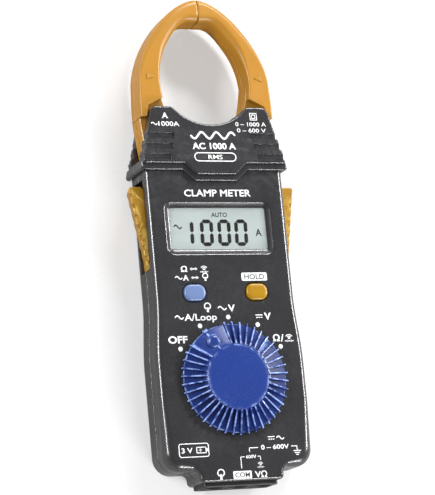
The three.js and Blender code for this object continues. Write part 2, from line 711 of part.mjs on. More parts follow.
function addDial() {
  const dial = new THREE.Group();
  dial.position.set(0, DIAL_Y, 0);
  meter.add(dial);
  const top = BODY_DEPTH + DIAL_RISE;
  const foot = BODY_DEPTH + 0.3;
  const skirtTop = foot + 1.1;
  const rotorFront = INNER_FRONT - 0.3;
  const knob = turned(
    [
      [0, rotorFront - 1.4],
      [ROTOR_BORE_R - 0.1, rotorFront - 1.4],
      [ROTOR_BORE_R - 0.1, rotorFront + REST_GAP],
      [DIAL_SHAFT_R, rotorFront + REST_GAP],
      [DIAL_SHAFT_R, foot],
      [DIAL_R, foot],
      [DIAL_R, skirtTop],
      [DIAL_DISC_R + 0.6, top - 0.2],
      [DIAL_DISC_R, top],
      [0, top],
    ],
    0,
    0,
    40,
  );
  const ribOutline = [
    [DIAL_DISC_R - 0.4, foot + 0.2],
    [DIAL_R + 0.9, foot + 0.2],
    [DIAL_R + 0.9, skirtTop + 0.5],
    [DIAL_DISC_R + 0.3, top - 0.05],
    [DIAL_DISC_R - 0.4, top - 0.05],
  ];
  const rib = solidOf(
    new THREE.ExtrudeGeometry(new THREE.Shape(ribOutline.map(([x, z]) => new THREE.Vector2(x, z))), {
      depth: 0.7,
      bevelEnabled: false,
    })
      .translate(0, 0, -0.35)
      .rotateX(Math.PI / 2),
  );
  const pointerDeg = 90 + DIAL_POINTER_DEG;
  const pitch = (360 - DIAL_BARE_DEG) / (DIAL_RIBS - 1);
  const ribs = Array.from({ length: DIAL_RIBS }, (_, i) =>
    rib.rotate([0, 0, pointerDeg + DIAL_BARE_DEG / 2 + i * pitch]),
  );
  const pointer = solidOf(
    new THREE.SphereGeometry(POINTER_R, 16, 10)
      .scale(1, 1, 0.7)
      .translate(POINTER_OUT, 0, skirtTop + 1.6)
      .rotateZ(THREE.MathUtils.degToRad(pointerDeg)),
  );
  const tab = block([DIAL_R - 0.6, DIAL_R + 0.7], [-0.8, 0.8], [foot + 0.2, skirtTop + 0.7]);
  add("dial_knob", join(knob, ...ribs, pointer, tab.rotate([0, 0, pointerDeg])), BLUE, dial);

  const rotorBack = rotorFront - 1.5;
  add(
    "switch_rotor",
    turned(
      [
        [ROTOR_BORE_R, rotorBack],
        [ROTOR_R, rotorBack],
        [ROTOR_R, rotorFront],
        [ROTOR_BORE_R, rotorFront],
        [ROTOR_BORE_R, rotorBack],
      ],
      0,
      0,
      24,
    ),
    WHITE,
    dial,
  );
  const wiper = turned(
    [
      [WIPER_RING[0], BOARD_FRONT + REST_GAP],
      [WIPER_RING[1], BOARD_FRONT + REST_GAP],
      [WIPER_RING[1], rotorBack - REST_GAP],
      [WIPER_RING[0], rotorBack - REST_GAP],
      [WIPER_RING[0], BOARD_FRONT + REST_GAP],
    ],
    0,
    0,
    24,
  );
  const sector = block([-FAR, FAR], [3, FAR], [0, FAR]);
  add("switch_wiper", wiper.intersect(sector), BRASS, dial);
  const strip = ROTOR_R + DETENT_GAP;
  const detent = join(
    block([strip, strip + 0.6], [-7, 7], [rotorBack, rotorFront]),
    block([strip - 0.4, strip + 0.1], [-0.8, 0.8], [rotorBack, rotorFront]),
  );
  add("detent_spring", detent.rotate([0, 0, -90]).translate([0, DIAL_Y, 0]), SPRING_STEEL);
}

// ---- Jaws ----

/** The U of both closed jaws, with legs that run on down past the collar. */
function archOutline() {
  const steps = 14;
  const lowY = FLANK_Y - 30;
  const outer = archCurve(JAW_HALF, LENGTH - WINDOW_Y, ARCH_POWER, steps);
  const inner = archCurve(WINDOW_HALF, WINDOW_RISE, WINDOW_POWER, steps);
  const lowOuter = [[JAW_HALF + 0.4, lowY], [JAW_HALF + 0.4, WINDOW_Y - 8]];
  const lowInner = [[WINDOW_HALF - 1.3, lowY], [WINDOW_HALF - 1.3, WINDOW_Y - 6]];
  const outside = [...lowOuter, ...outer];
  const inside = [...lowInner, ...inner];
  const mirror = (points) => points.filter(([x]) => x > 0).map(([x, y]) => [-x, y]);
  return [...outside, ...mirror(outside).reverse(), ...mirror(inside), ...inside.reverse()];
}

/** The thin arm under the collar, with the pivot boss and the tail that the lever pushes. */
function armOutline() {
  const armR = NOTCH_R + COLLAR_WALL + 1.4;
  return [
    [JAW_SPLIT + 0.4, WINDOW_Y - armR - 3.1],
    ...arc(PIVOT_X, PIVOT_Y, BOSS_R, 165, 330, 9),
    [TAIL_X - 6, PIVOT_Y - 6.5],
    [TAIL_X - 5.6, TAIL_END],
    [TAIL_X - 0.6, TAIL_END],
    [TAIL_X, TAIL_END + 1],
    [TAIL_X, PIVOT_Y - 3],
    [JAW_HALF - 1.3, PIVOT_Y + 1],
    [JAW_HALF - 0.6, PIVOT_Y + 6],
    [JAW_HALF + 0.2, WINDOW_Y - 14],
    [JAW_HALF - 0.2, WINDOW_Y + 1],
    [WINDOW_HALF + 0.2, WINDOW_Y + 1],
    [WINDOW_HALF - 1.1, WINDOW_Y - 6],
    [WINDOW_HALF - 2.3, WINDOW_Y - 10.5],
    ...arc(0, WINDOW_Y, armR, -48, -89, 8),
  ];
}

function jawBody() {
  const levels = [
    [JAW_BACK, JAW_CHAMFER],
    [JAW_BACK + JAW_CHAMFER, 0],
    [JAW_FRONT - JAW_CHAMFER, 0],
    [JAW_FRONT, JAW_CHAMFER],
  ];
  const thinSide = [
    [0, -FAR],
    [FAR, -FAR],
    [FAR, FLANK_Y],
    [JAW_HALF - 1.7, FLANK_Y],
    [JAW_HALF - 2.6, WINDOW_Y - 8.4],
    [WINDOW_HALF - 0.6, STEP_Y],
    [0, STEP_Y],
  ];
  const arch = cut(
    layered(archOutline(), levels),
    slab(FAR, [-FAR, FAR], [-FAR, FAR]).translate([JAW_SPLIT - FAR, 0, 0]),
    prism(thinSide, [-1, FAR]),
  );
  const arm = cut(
    prism(armOutline(), [ARM_BACK, ARM_FRONT]),
    block([-1, FAR], [0, PIVOT_Y - 5.5], [BODY_DEPTH - TAIL_DROP, FAR]),
  );
  return cut(join(arch, arm), rodZ(PIVOT_X, PIVOT_Y, [0, FAR], PIVOT_R + RUNNING, 20));
}

/** A jaw-shaped bar inside the jaw, with a margin to its surface all round. */
function innerBar(margin, lowY, zSpan) {
  const whole = prism(inset(archOutline(), margin), zSpan);
  return whole.intersect(block([JAW_SPLIT, FAR], [lowY + margin, FAR], [-1, FAR]));
}

const CORE_MARGIN = 2.5;
const COIL_MARGIN = JAW_WALL + 0.2;

function addJaws() {
  const body = jawBody();
  const lowEnd = WINDOW_Y - 3;
  const hollow = innerBar(JAW_WALL, lowEnd, [JAW_BACK + JAW_WALL, JAW_FRONT - JAW_WALL]);
  const tipWall = block([0, JAW_SPLIT + JAW_WALL], [0, FAR], [-1, FAR]);
  const coreSpan = [JAW_BACK + CORE_MARGIN, JAW_FRONT - CORE_MARGIN];
  const core = innerBar(CORE_MARGIN, lowEnd, coreSpan);
  const coreHole = innerBar(CORE_MARGIN - FIT, lowEnd - 1, [coreSpan[0] - FIT, coreSpan[1] + FIT]);
  const shell = cut(body, cut(hollow, tipWall), coreHole);
  const coilSpan = [JAW_BACK + COIL_MARGIN, JAW_FRONT - COIL_MARGIN];
  const coilStretch = block([0, FAR], [WINDOW_Y + 2, LENGTH - 16], [-1, FAR]);
  const coil = cut(innerBar(COIL_MARGIN, lowEnd, coilSpan).intersect(coilStretch), coreHole);
  const seamCut = (z0, z1) => block([-FAR, FAR], [-FAR, FAR], [z0, z1]);
  const front = cut(shell, seamCut(-FAR, JAW_SEAM + SEAM_GAP / 2));
  const rear = cut(shell, seamCut(JAW_SEAM - SEAM_GAP / 2, FAR));
  for (const { side, group } of sides()) {
    add("jaw_front_shell_" + side, front, YELLOW, group);
    add("jaw_rear_shell_" + side, rear, YELLOW, group);
    add("jaw_core_" + side, core, STEEL, group);
    add("jaw_coil_" + side, coil, COPPER, group);
    const pin = rodZ(PIVOT_X, PIVOT_Y, [1.4, BODY_DEPTH - 1.2], PIVOT_R, 20);
    add("jaw_pivot_pin_" + side, pin, STEEL, group);
    add("jaw_spring_" + side, jawSpring(), SPRING_STEEL, group);
  }
}

const SPRING_R = 1.9;
const SPRING_WIRE = 0.35;
const SPRING_TURNS = 6;
const SPRING_Y_ABOVE_TAIL_END = 2.6;
const SPRING_POST_HALF = 1.8;

/** The compression spring between the middle post and the jaw's tail, along X. */
function jawSpring() {
  const start = SPRING_POST_HALF + 0.3 + SPRING_WIRE;
  const end = TAIL_X - 5.6 - 0.3 - SPRING_WIRE;
  class Helix extends THREE.Curve {
    getPoint(t, target = new THREE.Vector3()) {
      const angle = 2 * Math.PI * SPRING_TURNS * t;
      return target.set(start + (end - start) * t, SPRING_R * Math.cos(angle), SPRING_R * Math.sin(angle));
    }
  }
  const wire = new THREE.Shape().absarc(0, 0, SPRING_WIRE, 0, 2 * Math.PI);
  const coil = new THREE.ExtrudeGeometry(wire, {
    steps: SPRING_TURNS * 8,
    curveSegments: 2,
    bevelEnabled: false,
    extrudePath: new Helix(),
  });
  const y = TAIL_END + SPRING_Y_ABOVE_TAIL_END;
  return solidOf(coil.translate(0, y, (ARM_BACK + BODY_DEPTH - TAIL_DROP) / 2));
}

// ---- Collar over the jaw pivots ----

/** The collar's outline, wider towards its lower edge so that it takes in the body. */
function collarOutline() {
  const hornY = WINDOW_Y - 9.4;
  const base = BODY_HALF + COLLAR_OVERHANG;
  const notchEnd = -Math.acos((WINDOW_HALF - 3.5) / NOTCH_R);
  return symmetric([
    [7.4, TAB_START - 0.3],
    [12, COLLAR_START + 1.7],
    [14, COLLAR_START + 1.7],
    [base - 1.4, COLLAR_START + 1.7],
    [base, COLLAR_START + 0.4],
    [BODY_HALF - 0.6, WINDOW_Y - 24],
    [JAW_HALF - 1.2, WINDOW_Y - 17],
    [JAW_HALF - 2.6, hornY - 2],
    [JAW_HALF - 4.6, hornY],
    [WINDOW_HALF - 3, hornY],
    ...arc(0, WINDOW_Y, NOTCH_R, THREE.MathUtils.radToDeg(notchEnd), -90, 7).slice(0, -1),
    [0, WINDOW_Y - NOTCH_R],
  ]);
}

/** Lets a solid's top fall away towards the horns. */
function slopedTop(outline, bottom) {
  const top = BODY_DEPTH + COLLAR_RISE;
  const solid = layered(outline, [
    [bottom, 0],
    [top - COLLAR_BEVEL, 0],
    [top, COLLAR_BEVEL],
  ]);
  const geometry = geometryOf(solid);
  const position = geometry.attributes.position;
  for (let i = 0; i < position.count; i++) {
    if (position.getZ(i) > BODY_DEPTH) {
      const fall = COLLAR_SLOPE * Math.max(0, position.getY(i) - COLLAR_START);
      position.setZ(i, position.getZ(i) - fall);
    }
  }
  return solidOf(geometry);
}

/** The room for the jaws inside the collar, open at the horns and at both sides. */
function jawRoom() {
  const zSpan = [REAR_PLATE, BODY_DEPTH - PLATE_DROP];
  const room = prism(inset(collarOutline(), COLLAR_WALL), zSpan);
  const openSides = slab(FAR, [PIVOT_Y - 0.8, FAR], zSpan);
  const openToCasing = slab(BODY_HALF - COLLAR_WALL, [CASING_END - 3, PIVOT_Y], zSpan);
  const wallR = NOTCH_R + COLLAR_WALL;
  const notchWall = prism(
    [...arc(0, WINDOW_Y, NOTCH_R - 1, -140, -40, 14), ...arc(0, WINDOW_Y, wallR, -43.5, -136.5, 14)],
    [0, FAR],
  );
  return cut(join(room, openSides, openToCasing), notchWall);
}

/** The casing's end inside the collar, with a clearance round it. */
function casingRoom() {
  return slab(BODY_HALF + FIT, [0, CASING_END + FIT], [-1, BODY_DEPTH + FIT]);
}

function collarPost() {
  return slab(SPRING_POST_HALF, [TAIL_END, CASING_END], [REAR_PLATE - 0.5, SEAM_Z]);
}

function addCollar() {
  const outline = collarOutline();
  const pinHoles = [PIVOT_X, -PIVOT_X].map((x) =>
    rodZ(x, PIVOT_Y, [1.3, BODY_DEPTH - 1.1], PIVOT_R + 0.05, 20),
  );
  const seam = (z0, z1) => slab(FAR, [-FAR, FAR], [z0, z1]);
  const front = cut(
    slopedTop(outline, SEAM_Z + SEAM_GAP / 2),
    jawRoom(),
    casingRoom(),
    ...pinHoles,
    ...grooves(),
  );
  add("front_barrier", front, CHARCOAL);
  const rearLevels = [
    [0, 1.2],
    [1, 0],
    [SEAM_Z - SEAM_GAP / 2, 0],
  ];
  const tongueSpan = [TAIL_END - 1, CASING_END + 1];
  const tongue = slab(BODY_HALF - WALL - 0.5, tongueSpan, [WALL + REST_GAP, REAR_PLATE]);
  const blank = cut(layered(outline, rearLevels), jawRoom(), casingRoom(), seam(SEAM_Z, FAR));
  const post = collarPost().intersect(seam(0, BODY_DEPTH - TAIL_DROP));
  add("rear_barrier", cut(join(blank, tongue, post), ...pinHoles), CHARCOAL);
}

/** Three finger grooves on each side of the front plate, each starting further out. */
function grooves() {
  return [0, 1, 2].flatMap((i) => {
    const top = WINDOW_Y - GROOVES_BELOW - GROOVE_PITCH * i;
    const inner = GROOVE_START_X + 0.95 * i;
    const floor = BODY_DEPTH + COLLAR_RISE - GROOVE_DEPTH - COLLAR_SLOPE * (top - COLLAR_START);
    return [1, -1].map((sign) => {
      const xSpan = sign > 0 ? [inner, FAR] : [-FAR, -inner];
      const sideSpan = sign > 0 ? [JAW_HALF - 0.2 + i, FAR] : [-FAR, -(JAW_HALF - 0.2 + i)];
      return join(
        block(xSpan, [top - GROOVE_WIDTH, top], [floor, FAR]),
        block(sideSpan, [top - GROOVE_WIDTH, top], [BODY_DEPTH - PLATE_DROP - 1, FAR]),
      );
    });
  });
}

// ---- Levers ----

function leverOutline() {
  const outerTop = BODY_HALF + LEVER_REACH;
  const outerFoot = BODY_HALF + LEVER_TAIL;
  const pitch = (LEVER_LENGTH - 3) / LEVER_NOTCHES;
  const edgeX = (y) => outerFoot + ((outerTop - outerFoot) * (y - LEVER_FOOT)) / LEVER_LENGTH;
  const teeth = Array.from({ length: LEVER_NOTCHES }, (_, i) => {
    const y = LEVER_FOOT + 2 + i * pitch;
    return [
      [edgeX(y), y],
      [edgeX(y + pitch * 0.6), y + pitch * 0.6],
      [edgeX(y + pitch * 0.62) - 0.5, y + pitch * 0.62],
      [edgeX(y + pitch * 0.95) - 0.5, y + pitch * 0.95],
    ];
  }).flat();
  return [
    [LEVER_PIN_X, LEVER_PIN_Y - 2.4],
    [outerFoot - 1, LEVER_FOOT],
    ...teeth,
    [outerTop - 0.1, LEVER_TOP - 0.6],
    [outerTop - 0.8, LEVER_TOP],
    [BODY_HALF + 0.3, LEVER_TOP],
    [NOSE_X + 1.2, NOSE_Y + 1.6],
    ...arc(NOSE_X + 1.3, NOSE_Y, 1.3, 110, 250, 4),
    [NOSE_X + 1, NOSE_Y - 3],
    [NOSE_X + 0.6, LEVER_PIN_Y + 5],
    [LEVER_PIN_X - 2, LEVER_PIN_Y + 1.2],
    [LEVER_PIN_X - 2.2, LEVER_PIN_Y - 0.8],
  ];
}

function addLevers() {
  const lever = cut(
    layered(leverOutline(), [
      [LEVER_BACK, 0.35],
      [LEVER_BACK + 0.5, 0],
      [LEVER_FRONT - 0.5, 0],
      [LEVER_FRONT, 0.35],
    ]),
    rodZ(LEVER_PIN_X, LEVER_PIN_Y, [0, FAR], LEVER_PIN_R + RUNNING, 14),
  );
  const pin = rodZ(LEVER_PIN_X, LEVER_PIN_Y, [1.1, INNER_FRONT - 0.3], LEVER_PIN_R, 14);
  for (const { side, group } of sides()) {
    add("lever_" + side, lever, LEVER_YELLOW, group);
    add("lever_pin_" + side, pin, STEEL, group);
  }
}

addFrontCasing();
addRearCasing();
addCollar();
addSockets();
addBoardAndDisplay();
addBatteryParts();
addFasteners();
addButtons();
addDial();
addJaws();
addLevers();
meter.position.y = -LENGTH / 2;

export default meter;
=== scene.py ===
"""Visual model of a hand-held clamp meter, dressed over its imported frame.

Shapes are drawn in millimetres, with X to the right of the display, Y counted from the
socket end towards the jaw tips, and Z out of the display. Each piece is turned into metres
and put into the frame's own axes when it is placed.
"""

import logging
import math
from collections.abc import Callable, Iterable, Sequence
from dataclasses import dataclass, field
from enum import Enum
from functools import cached_property

import bmesh
import bpy
from mathutils import Matrix, Vector


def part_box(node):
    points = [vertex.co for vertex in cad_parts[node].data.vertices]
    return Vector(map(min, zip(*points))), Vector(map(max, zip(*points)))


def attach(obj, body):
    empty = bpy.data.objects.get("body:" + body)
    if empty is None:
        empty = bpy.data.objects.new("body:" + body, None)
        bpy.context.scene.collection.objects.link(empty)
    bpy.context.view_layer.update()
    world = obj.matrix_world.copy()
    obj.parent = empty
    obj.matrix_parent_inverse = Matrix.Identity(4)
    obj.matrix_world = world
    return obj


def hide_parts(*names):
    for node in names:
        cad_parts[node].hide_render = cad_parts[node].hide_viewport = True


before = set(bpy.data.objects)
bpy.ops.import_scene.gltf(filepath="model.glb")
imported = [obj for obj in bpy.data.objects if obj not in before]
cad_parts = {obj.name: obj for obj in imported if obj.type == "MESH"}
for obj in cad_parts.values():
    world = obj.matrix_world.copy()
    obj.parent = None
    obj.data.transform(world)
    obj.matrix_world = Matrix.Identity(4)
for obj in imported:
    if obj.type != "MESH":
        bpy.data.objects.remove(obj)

log = logging.getLogger("clamp_meter")

MM = 0.001
FAR = 400.0  # longer than anything here, for cutting
SOCKET_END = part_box("terminal_block")[0].y / MM  # where the drawing's Y starts, in the frame
CAPITAL = 0.70  # the font's capital height, as a share of its size

# Places that several pieces share, in drawing millimetres.
FACE_Z = 16.0  # the casing's face
DIAL_Y = 38.0
BUTTON_X, BUTTON_Y = 12.0, 69.4
JAW_PIVOT = (6.0, 120.0)  # of the right-hand jaw
LEVER_PIN = (23.0, 83.0)  # of the right-hand lever

Point = tuple[float, float]
Place = tuple[float, float, float]
Span = tuple[float, float]
Outline = list[Point]
Level = tuple[float, float]
Colour = tuple[float, float, float]
Radius = float | Callable[[float, float], float]


class Side(Enum):
    """The two sides of the meter; the value is the sign of X."""

    RIGHT = 1
    LEFT = -1

    @property
    def word(self) -> str:
        """The side's name as the frame's nodes and bodies use it."""
        return self.name.lower()


# ---- Drawing ----


def smoothstep(value: float, low: float, high: float) -> float:
    """Eases from 0 at low to 1 at high.

    Args:
        value: Where to read the curve.
        low: Where it leaves 0.
        high: Where it reaches 1.

    Returns:
        The eased share.
    """
    t = min(1.0, max(0.0, (value - low) / (high - low)))
    return t * t * (3 - 2 * t)


def arc(x: float, y: float, radius: float, start: float, end: float, steps: int) -> Outline:
    """Points of an arc, both ends included.

    Args:
        x: Centre.
        y: Centre.
        radius: Radius.
        start: First angle in degrees.
        end: Last angle in degrees.
        steps: How many chords it has.

    Returns:
        The points in order.
    """
    angles = [math.radians(start + (end - start) * i / steps) for i in range(steps + 1)]
    return [(x + radius * math.cos(a), y + radius * math.sin(a)) for a in angles]


def rounded_box(x: float, y: float, half: Point, radius: float, steps: int = 8) -> Outline:
    """A counter-clockwise rectangle with rounded corners.

    Args:
        x: Centre.
        y: Centre.
        half: Half width and half height.
        radius: Corner radius.
        steps: Chords in each corner.

    Returns:
        The outline.
    """
    inner_x, inner_y = half[0] - radius, half[1] - radius
    corners = ((inner_x, inner_y), (-inner_x, inner_y), (-inner_x, -inner_y), (inner_x, -inner_y))
    return [
        point
        for i, (dx, dy) in enumerate(corners)
        for point in arc(x + dx, y + dy, radius, 90 * i, 90 * i + 90, steps)
    ]


def symmetric(right: Outline) -> Outline:
    """Closes a counter-clockwise right half, drawn from bottom to top, with its mirror image."""
    return right + [(-x, y) for x, y in reversed(right) if x > 0]


def inset(outline: Outline, distances: Sequence[float]) -> Outline:
    """Moves a counter-clockwise outline inwards, corner by corner.

    Args:
        outline: The outline.
        distances: How far each corner's sides move.

    Returns:
        The new outline, with as many points.
    """
    count = len(outline)
    normals = []
    for i in range(count):
        (ax, ay), (bx, by) = outline[i], outline[(i + 1) % count]
        length = math.hypot(bx - ax, by - ay)
        normals.append(((by - ay) / length, (ax - bx) / length))
    moved = []
    for i, ((x, y), distance) in enumerate(zip(outline, distances, strict=True)):
        (ax, ay), (bx, by) = normals[i - 1], normals[i]
        spread = distance / (1 + ax * bx + ay * by)
        moved.append((x - spread * (ax + bx), y - spread * (ay + by)))
    return moved


# ---- Solids ----


class Solid:
    """A closed mesh in millimetres that others can cut or join."""

    def __init__(self, mesh: bpy.types.Mesh) -> None:
        """Keeps a mesh and turns its faces outwards.

        Args:
            mesh: A closed mesh in millimetres.
        """
        self.mesh = mesh
        work = bmesh.new()
        work.from_mesh(mesh)
        bmesh.ops.recalc_face_normals(work, faces=work.faces)
        work.to_mesh(mesh)
        work.free()

    @classmethod
    def of(cls, points: Sequence[Place], faces: Sequence[Sequence[int]]) -> "Solid":
        """Makes a solid from points and faces.

        Args:
            points: Its points.
            faces: For each face the numbers of its points.

        Returns:
            The solid.
        """
        mesh = bpy.data.meshes.new("draft")
        mesh.from_pydata(list(points), [], [list(face) for face in faces])
        return cls(mesh)

    def _combine(self, operation: str, tools: Sequence["Solid"]) -> "Solid":
        """Runs one exact boolean against several tools.

        Args:
            operation: DIFFERENCE, UNION or INTERSECT.
            tools: The other solids.

        Returns:
            The result as a new solid.
        """
        scene = bpy.context.scene.collection
        target = bpy.data.objects.new("target", self.mesh)
        group = bpy.data.collections.new("tools")
        helpers = [bpy.data.objects.new("tool", tool.mesh) for tool in tools]
        scene.objects.link(target)
        scene.children.link(group)
        for helper in helpers:
            group.objects.link(helper)
        step = target.modifiers.new("combine", "BOOLEAN")
        step.operation, step.solver = operation, "EXACT"
        step.operand_type, step.collection = "COLLECTION", group
        depsgraph = bpy.context.evaluated_depsgraph_get()
        result = bpy.data.meshes.new_from_object(target.evaluated_get(depsgraph))
        for helper in [*helpers, target]:
            bpy.data.objects.remove(helper)
        bpy.data.collections.remove(group)
        return Solid(result)

    def cut(self, *tools: "Solid") -> "Solid":
        """This solid without the tools."""
        return self._combine("DIFFERENCE", tools)

    def join(self, *tools: "Solid") -> "Solid":
        """This solid and the tools as one."""
        return self._combine("UNION", tools)

    def moved(self, rule: Callable[[float, float, float], Place]) -> "Solid":
        """A copy whose points are moved by a rule.

        Args:
            rule: Takes a point's X, Y and Z and returns its new place.

        Returns:
            The moved copy.
        """
        mesh = self.mesh.copy()
        for vertex in mesh.vertices:
            vertex.co = rule(*vertex.co)
        return Solid(mesh)

    def at(self, x: float = 0, y: float = 0, z: float = 0, turn: float = 0) -> "Solid":
        """A copy turned about the Z axis by some degrees and then shifted."""
        c, s = math.cos(math.radians(turn)), math.sin(math.radians(turn))
        return self.moved(lambda px, py, pz: (x + px * c - py * s, y + px * s + py * c, z + pz))

    def on(self, side: Side) -> "Solid":
        """A copy for one side of the meter, from the drawing of the right-hand one."""
        return self.moved(lambda x, y, z: (x * side.value, y, z))


def skin(rings: Sequence[Sequence[Place]]) -> Solid:
    """Stretches faces over rings of points, with a flat face on the first and the last.

    Args:
        rings: Rings that all have the same number of points.

    Returns:
        The closed solid.
    """
    count = len(rings[0])
    faces: list[list[int]] = [list(range(count)), [len(rings) * count - 1 - i for i in range(count)]]
    for level in range(len(rings) - 1):
        first = level * count
        for i in range(count):
            j = (i + 1) % count
            faces.append([first + i, first + j, first + count + j, first + count + i])
    return Solid.of([point for ring in rings for point in ring], faces)


def loft(outline: Outline, levels: Sequence[Level]) -> Solid:
    """A solid whose outline changes with height.

    Args:
        outline: A counter-clockwise outline.
        levels: For each level its height and how far the outline is inset there.

    Returns:
        The solid.
    """
    rings = []
    for z, distance in levels:
        rings.append([(x, y, z) for x, y in inset(outline, [distance] * len(outline))])
    return skin(rings)


def radius_at(radius: Radius, outline: Outline) -> list[float]:
    """The edge radius at each point of an outline."""
    return [radius(x, y) if callable(radius) else radius for x, y in outline]


def rounded(outline: Outline, z: Span, top: Radius = 0.0, bottom: Radius = 0.0, steps: int = 7) -> Solid:
    """A slab with rounded upper and lower edges, whose radius may change along the outline.

    Args:
        outline: A counter-clockwise outline.
        z: Lower and upper height.
        top: Upper edge radius, or a rule from a point to its radius.
        bottom: The same for the lower edge.
        steps: Chords in each rounded edge.

    Returns:
        The solid.
    """
    rings = []
    for radius, height, sign in ((bottom, z[0], 1), (top, z[1], -1)):
        radii = radius_at(radius, outline)
        stages = range(steps + 1) if max(radii) > 0 else [0]
        edge = []
        for k in stages:
            angle = math.pi / 2 * k / steps
            ring = inset(outline, [r * (1 - math.cos(angle)) for r in radii])
            lift = [sign * r * (1 - math.sin(angle)) for r in radii]
            edge.append([(x, y, height + dz) for (x, y), dz in zip(ring, lift, strict=True)])
        rings += edge[::-1] if sign > 0 else edge
    return skin(rings)


def brick(x: Span, y: Span, z: Span) -> Solid:
    """A plain box between two corners, mostly for cutting."""
    corners = [(x[0], y[0]), (x[1], y[0]), (x[1], y[1]), (x[0], y[1])]
    return skin([[(px, py, height) for px, py in corners] for height in z])


def slab(half: float, y: Span, z: Span) -> Solid:
    """A plain box that is symmetric about X = 0."""
    return brick((-half, half), y, z)


def rod(x: float, y: float, z: Span, radius: float, edge: float = 0.0, sides: int = 32) -> Solid:
    """A round bar along Z, with both end edges rounded."""
    circle = arc(x, y, radius, 0, 360, sides)[:-1]
    return rounded(circle, z, edge, edge, 3)


def lathe(profile: Sequence[Point], x: float = 0, y: float = 0, sides: int = 64) -> Solid:
    """A solid of revolution about a vertical line.

    Args:
        profile: Radius and height pairs, bottom to top.
        x: The line's place.
        y: The line's place.
        sides: Chords in each circle.

    Returns:
        The solid, flat at both ends.
    """
    return skin([[(px, py, z) for px, py in arc(x, y, r, 0, 360, sides)[:-1]] for r, z in profile])


def along_y(solid: Solid, z: float) -> Solid:
    """Lays a solid that was drawn along Z down along Y, about the height z."""
    return solid.moved(lambda px, py, pz: (px, pz, z - py))


def gather(solids: Iterable[Solid]) -> Solid:
    """Puts several solids into one mesh, without joining their faces.

    Args:
        solids: The solids.

    Returns:
        One solid that holds them all.
    """
    points: list[Place] = []
    faces: list[list[int]] = []
    for solid in solids:
        first = len(points)
        points += [tuple(vertex.co) for vertex in solid.mesh.vertices]
        faces += [[first + corner for corner in face.vertices] for face in solid.mesh.polygons]
    return Solid.of(points, faces)


@dataclass(frozen=True)
class Box:
    """A frame node's box at rest, in drawing millimetres."""

    x: Span
    y: Span
    z: Span

    @classmethod
    def of(cls, node: str) -> "Box":
        """Reads a node's box from the frame."""
        low, high = (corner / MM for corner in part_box(node))
        return cls((low.x, high.x), (low.y - SOCKET_END, high.y - SOCKET_END), (low.z, high.z))

    @property
    def centre(self) -> Point:
        """The middle of the box, seen from the front."""
        return (self.x[0] + self.x[1]) / 2, (self.y[0] + self.y[1]) / 2

    @property
    def half(self) -> Point:
        """Half the width and half the height, seen from the front."""
        return (self.x[1] - self.x[0]) / 2, (self.y[1] - self.y[0]) / 2


def place(
    solid: Solid,
    name: str,
    body: str,
    material: bpy.types.Material,
    replaces: Sequence[str],
    sharp: float = 38,
) -> bpy.types.Object:
    """Puts a finished solid into the scene as one piece.

    Args:
        solid: The shape, in drawing millimetres.
        name: The piece's name.
        body: The frame body that carries it.
        material: Its material.
        replaces: The frame nodes that it stands for.
        sharp: Edges that turn by more than this many degrees stay sharp.

    Returns:
        The new object.
    """
    mesh = solid.mesh.copy()
    mesh.name = name
    mesh.transform(Matrix.Scale(MM, 4) @ Matrix.Translation((0, SOCKET_END, 0)))
    mesh.polygons.foreach_set("use_smooth", [True] * len(mesh.polygons))
    mesh.set_sharp_from_angle(angle=math.radians(sharp))
    mesh.materials.clear()
    mesh.materials.append(material)
    piece = bpy.data.objects.new(name, mesh)
    bpy.context.scene.collection.objects.link(piece)
    weighted = piece.modifiers.new("even_shading", "WEIGHTED_NORMAL")
    weighted.keep_sharp = True
    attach(piece, body)
    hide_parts(*replaces)
    log.info("%s: %d faces, rides on %s", name, len(mesh.polygons), body)
    return piece


# ---- Shader groups ----


def add_node(
    tree: bpy.types.NodeTree, kind: str, inputs: dict | None = None, **settings: object
) -> bpy.types.Node:
    """Adds a node, with its settings made and its inputs filled or linked.

    Args:
        tree: The tree it goes into.
        kind: The node type.
        inputs: For each input its value, or the socket that feeds it.
        **settings: Attributes of the node.

    Returns:
        The node.
    """
    node = tree.nodes.new(kind)
    for key, value in settings.items():
        setattr(node, key, value)
    for key, value in (inputs or {}).items():
        if isinstance(value, bpy.types.NodeSocket):
            tree.links.new(value, node.inputs[key])
        else:
            node.inputs[key].default_value = value
    return node


def math_node(tree: bpy.types.NodeTree, operation: str, *values: object) -> bpy.types.NodeSocket:
    """Adds a Math node and returns its output."""
    node = add_node(tree, "ShaderNodeMath", dict(enumerate(values)), operation=operation)
    return node.outputs[0]


def with_alpha(value: object) -> object:
    """A colour with its alpha added; any other value as it is."""
    return (*value, 1.0) if isinstance(value, tuple) and len(value) == 3 else value


def blend_colours(
    tree: bpy.types.NodeTree, factor: object, first: object, second: object
) -> bpy.types.NodeSocket:
    """Adds a colour Mix node and returns its output.

    Args:
        tree: The tree it goes into.
        factor: The share of the second colour, or the socket that feeds it.
        first: A colour or a socket.
        second: A colour or a socket.

    Returns:
        The mixed colour's socket.
    """
    inputs = {0: factor, 6: with_alpha(first), 7: with_alpha(second)}
    return add_node(tree, "ShaderNodeMix", inputs, data_type="RGBA").outputs[2]


def spread(
    tree: bpy.types.NodeTree, value: object, low: float, high: float, to: Span = (0, 1)
) -> bpy.types.NodeSocket:
    """Adds a clamped Map Range node and returns its output.

    Args:
        tree: The tree it goes into.
        value: The socket to read.
        low: The input that gives the first output.
        high: The input that gives the last output.
        to: The first and the last output.

    Returns:
        The output socket.
    """
    inputs = {"Value": value, "From Min": low, "From Max": high, "To Min": to[0], "To Max": to[1]}
    return add_node(tree, "ShaderNodeMapRange", inputs).outputs[0]


GroupFill = Callable[[bpy.types.NodeTree, bpy.types.Node], dict[str, bpy.types.NodeSocket]]


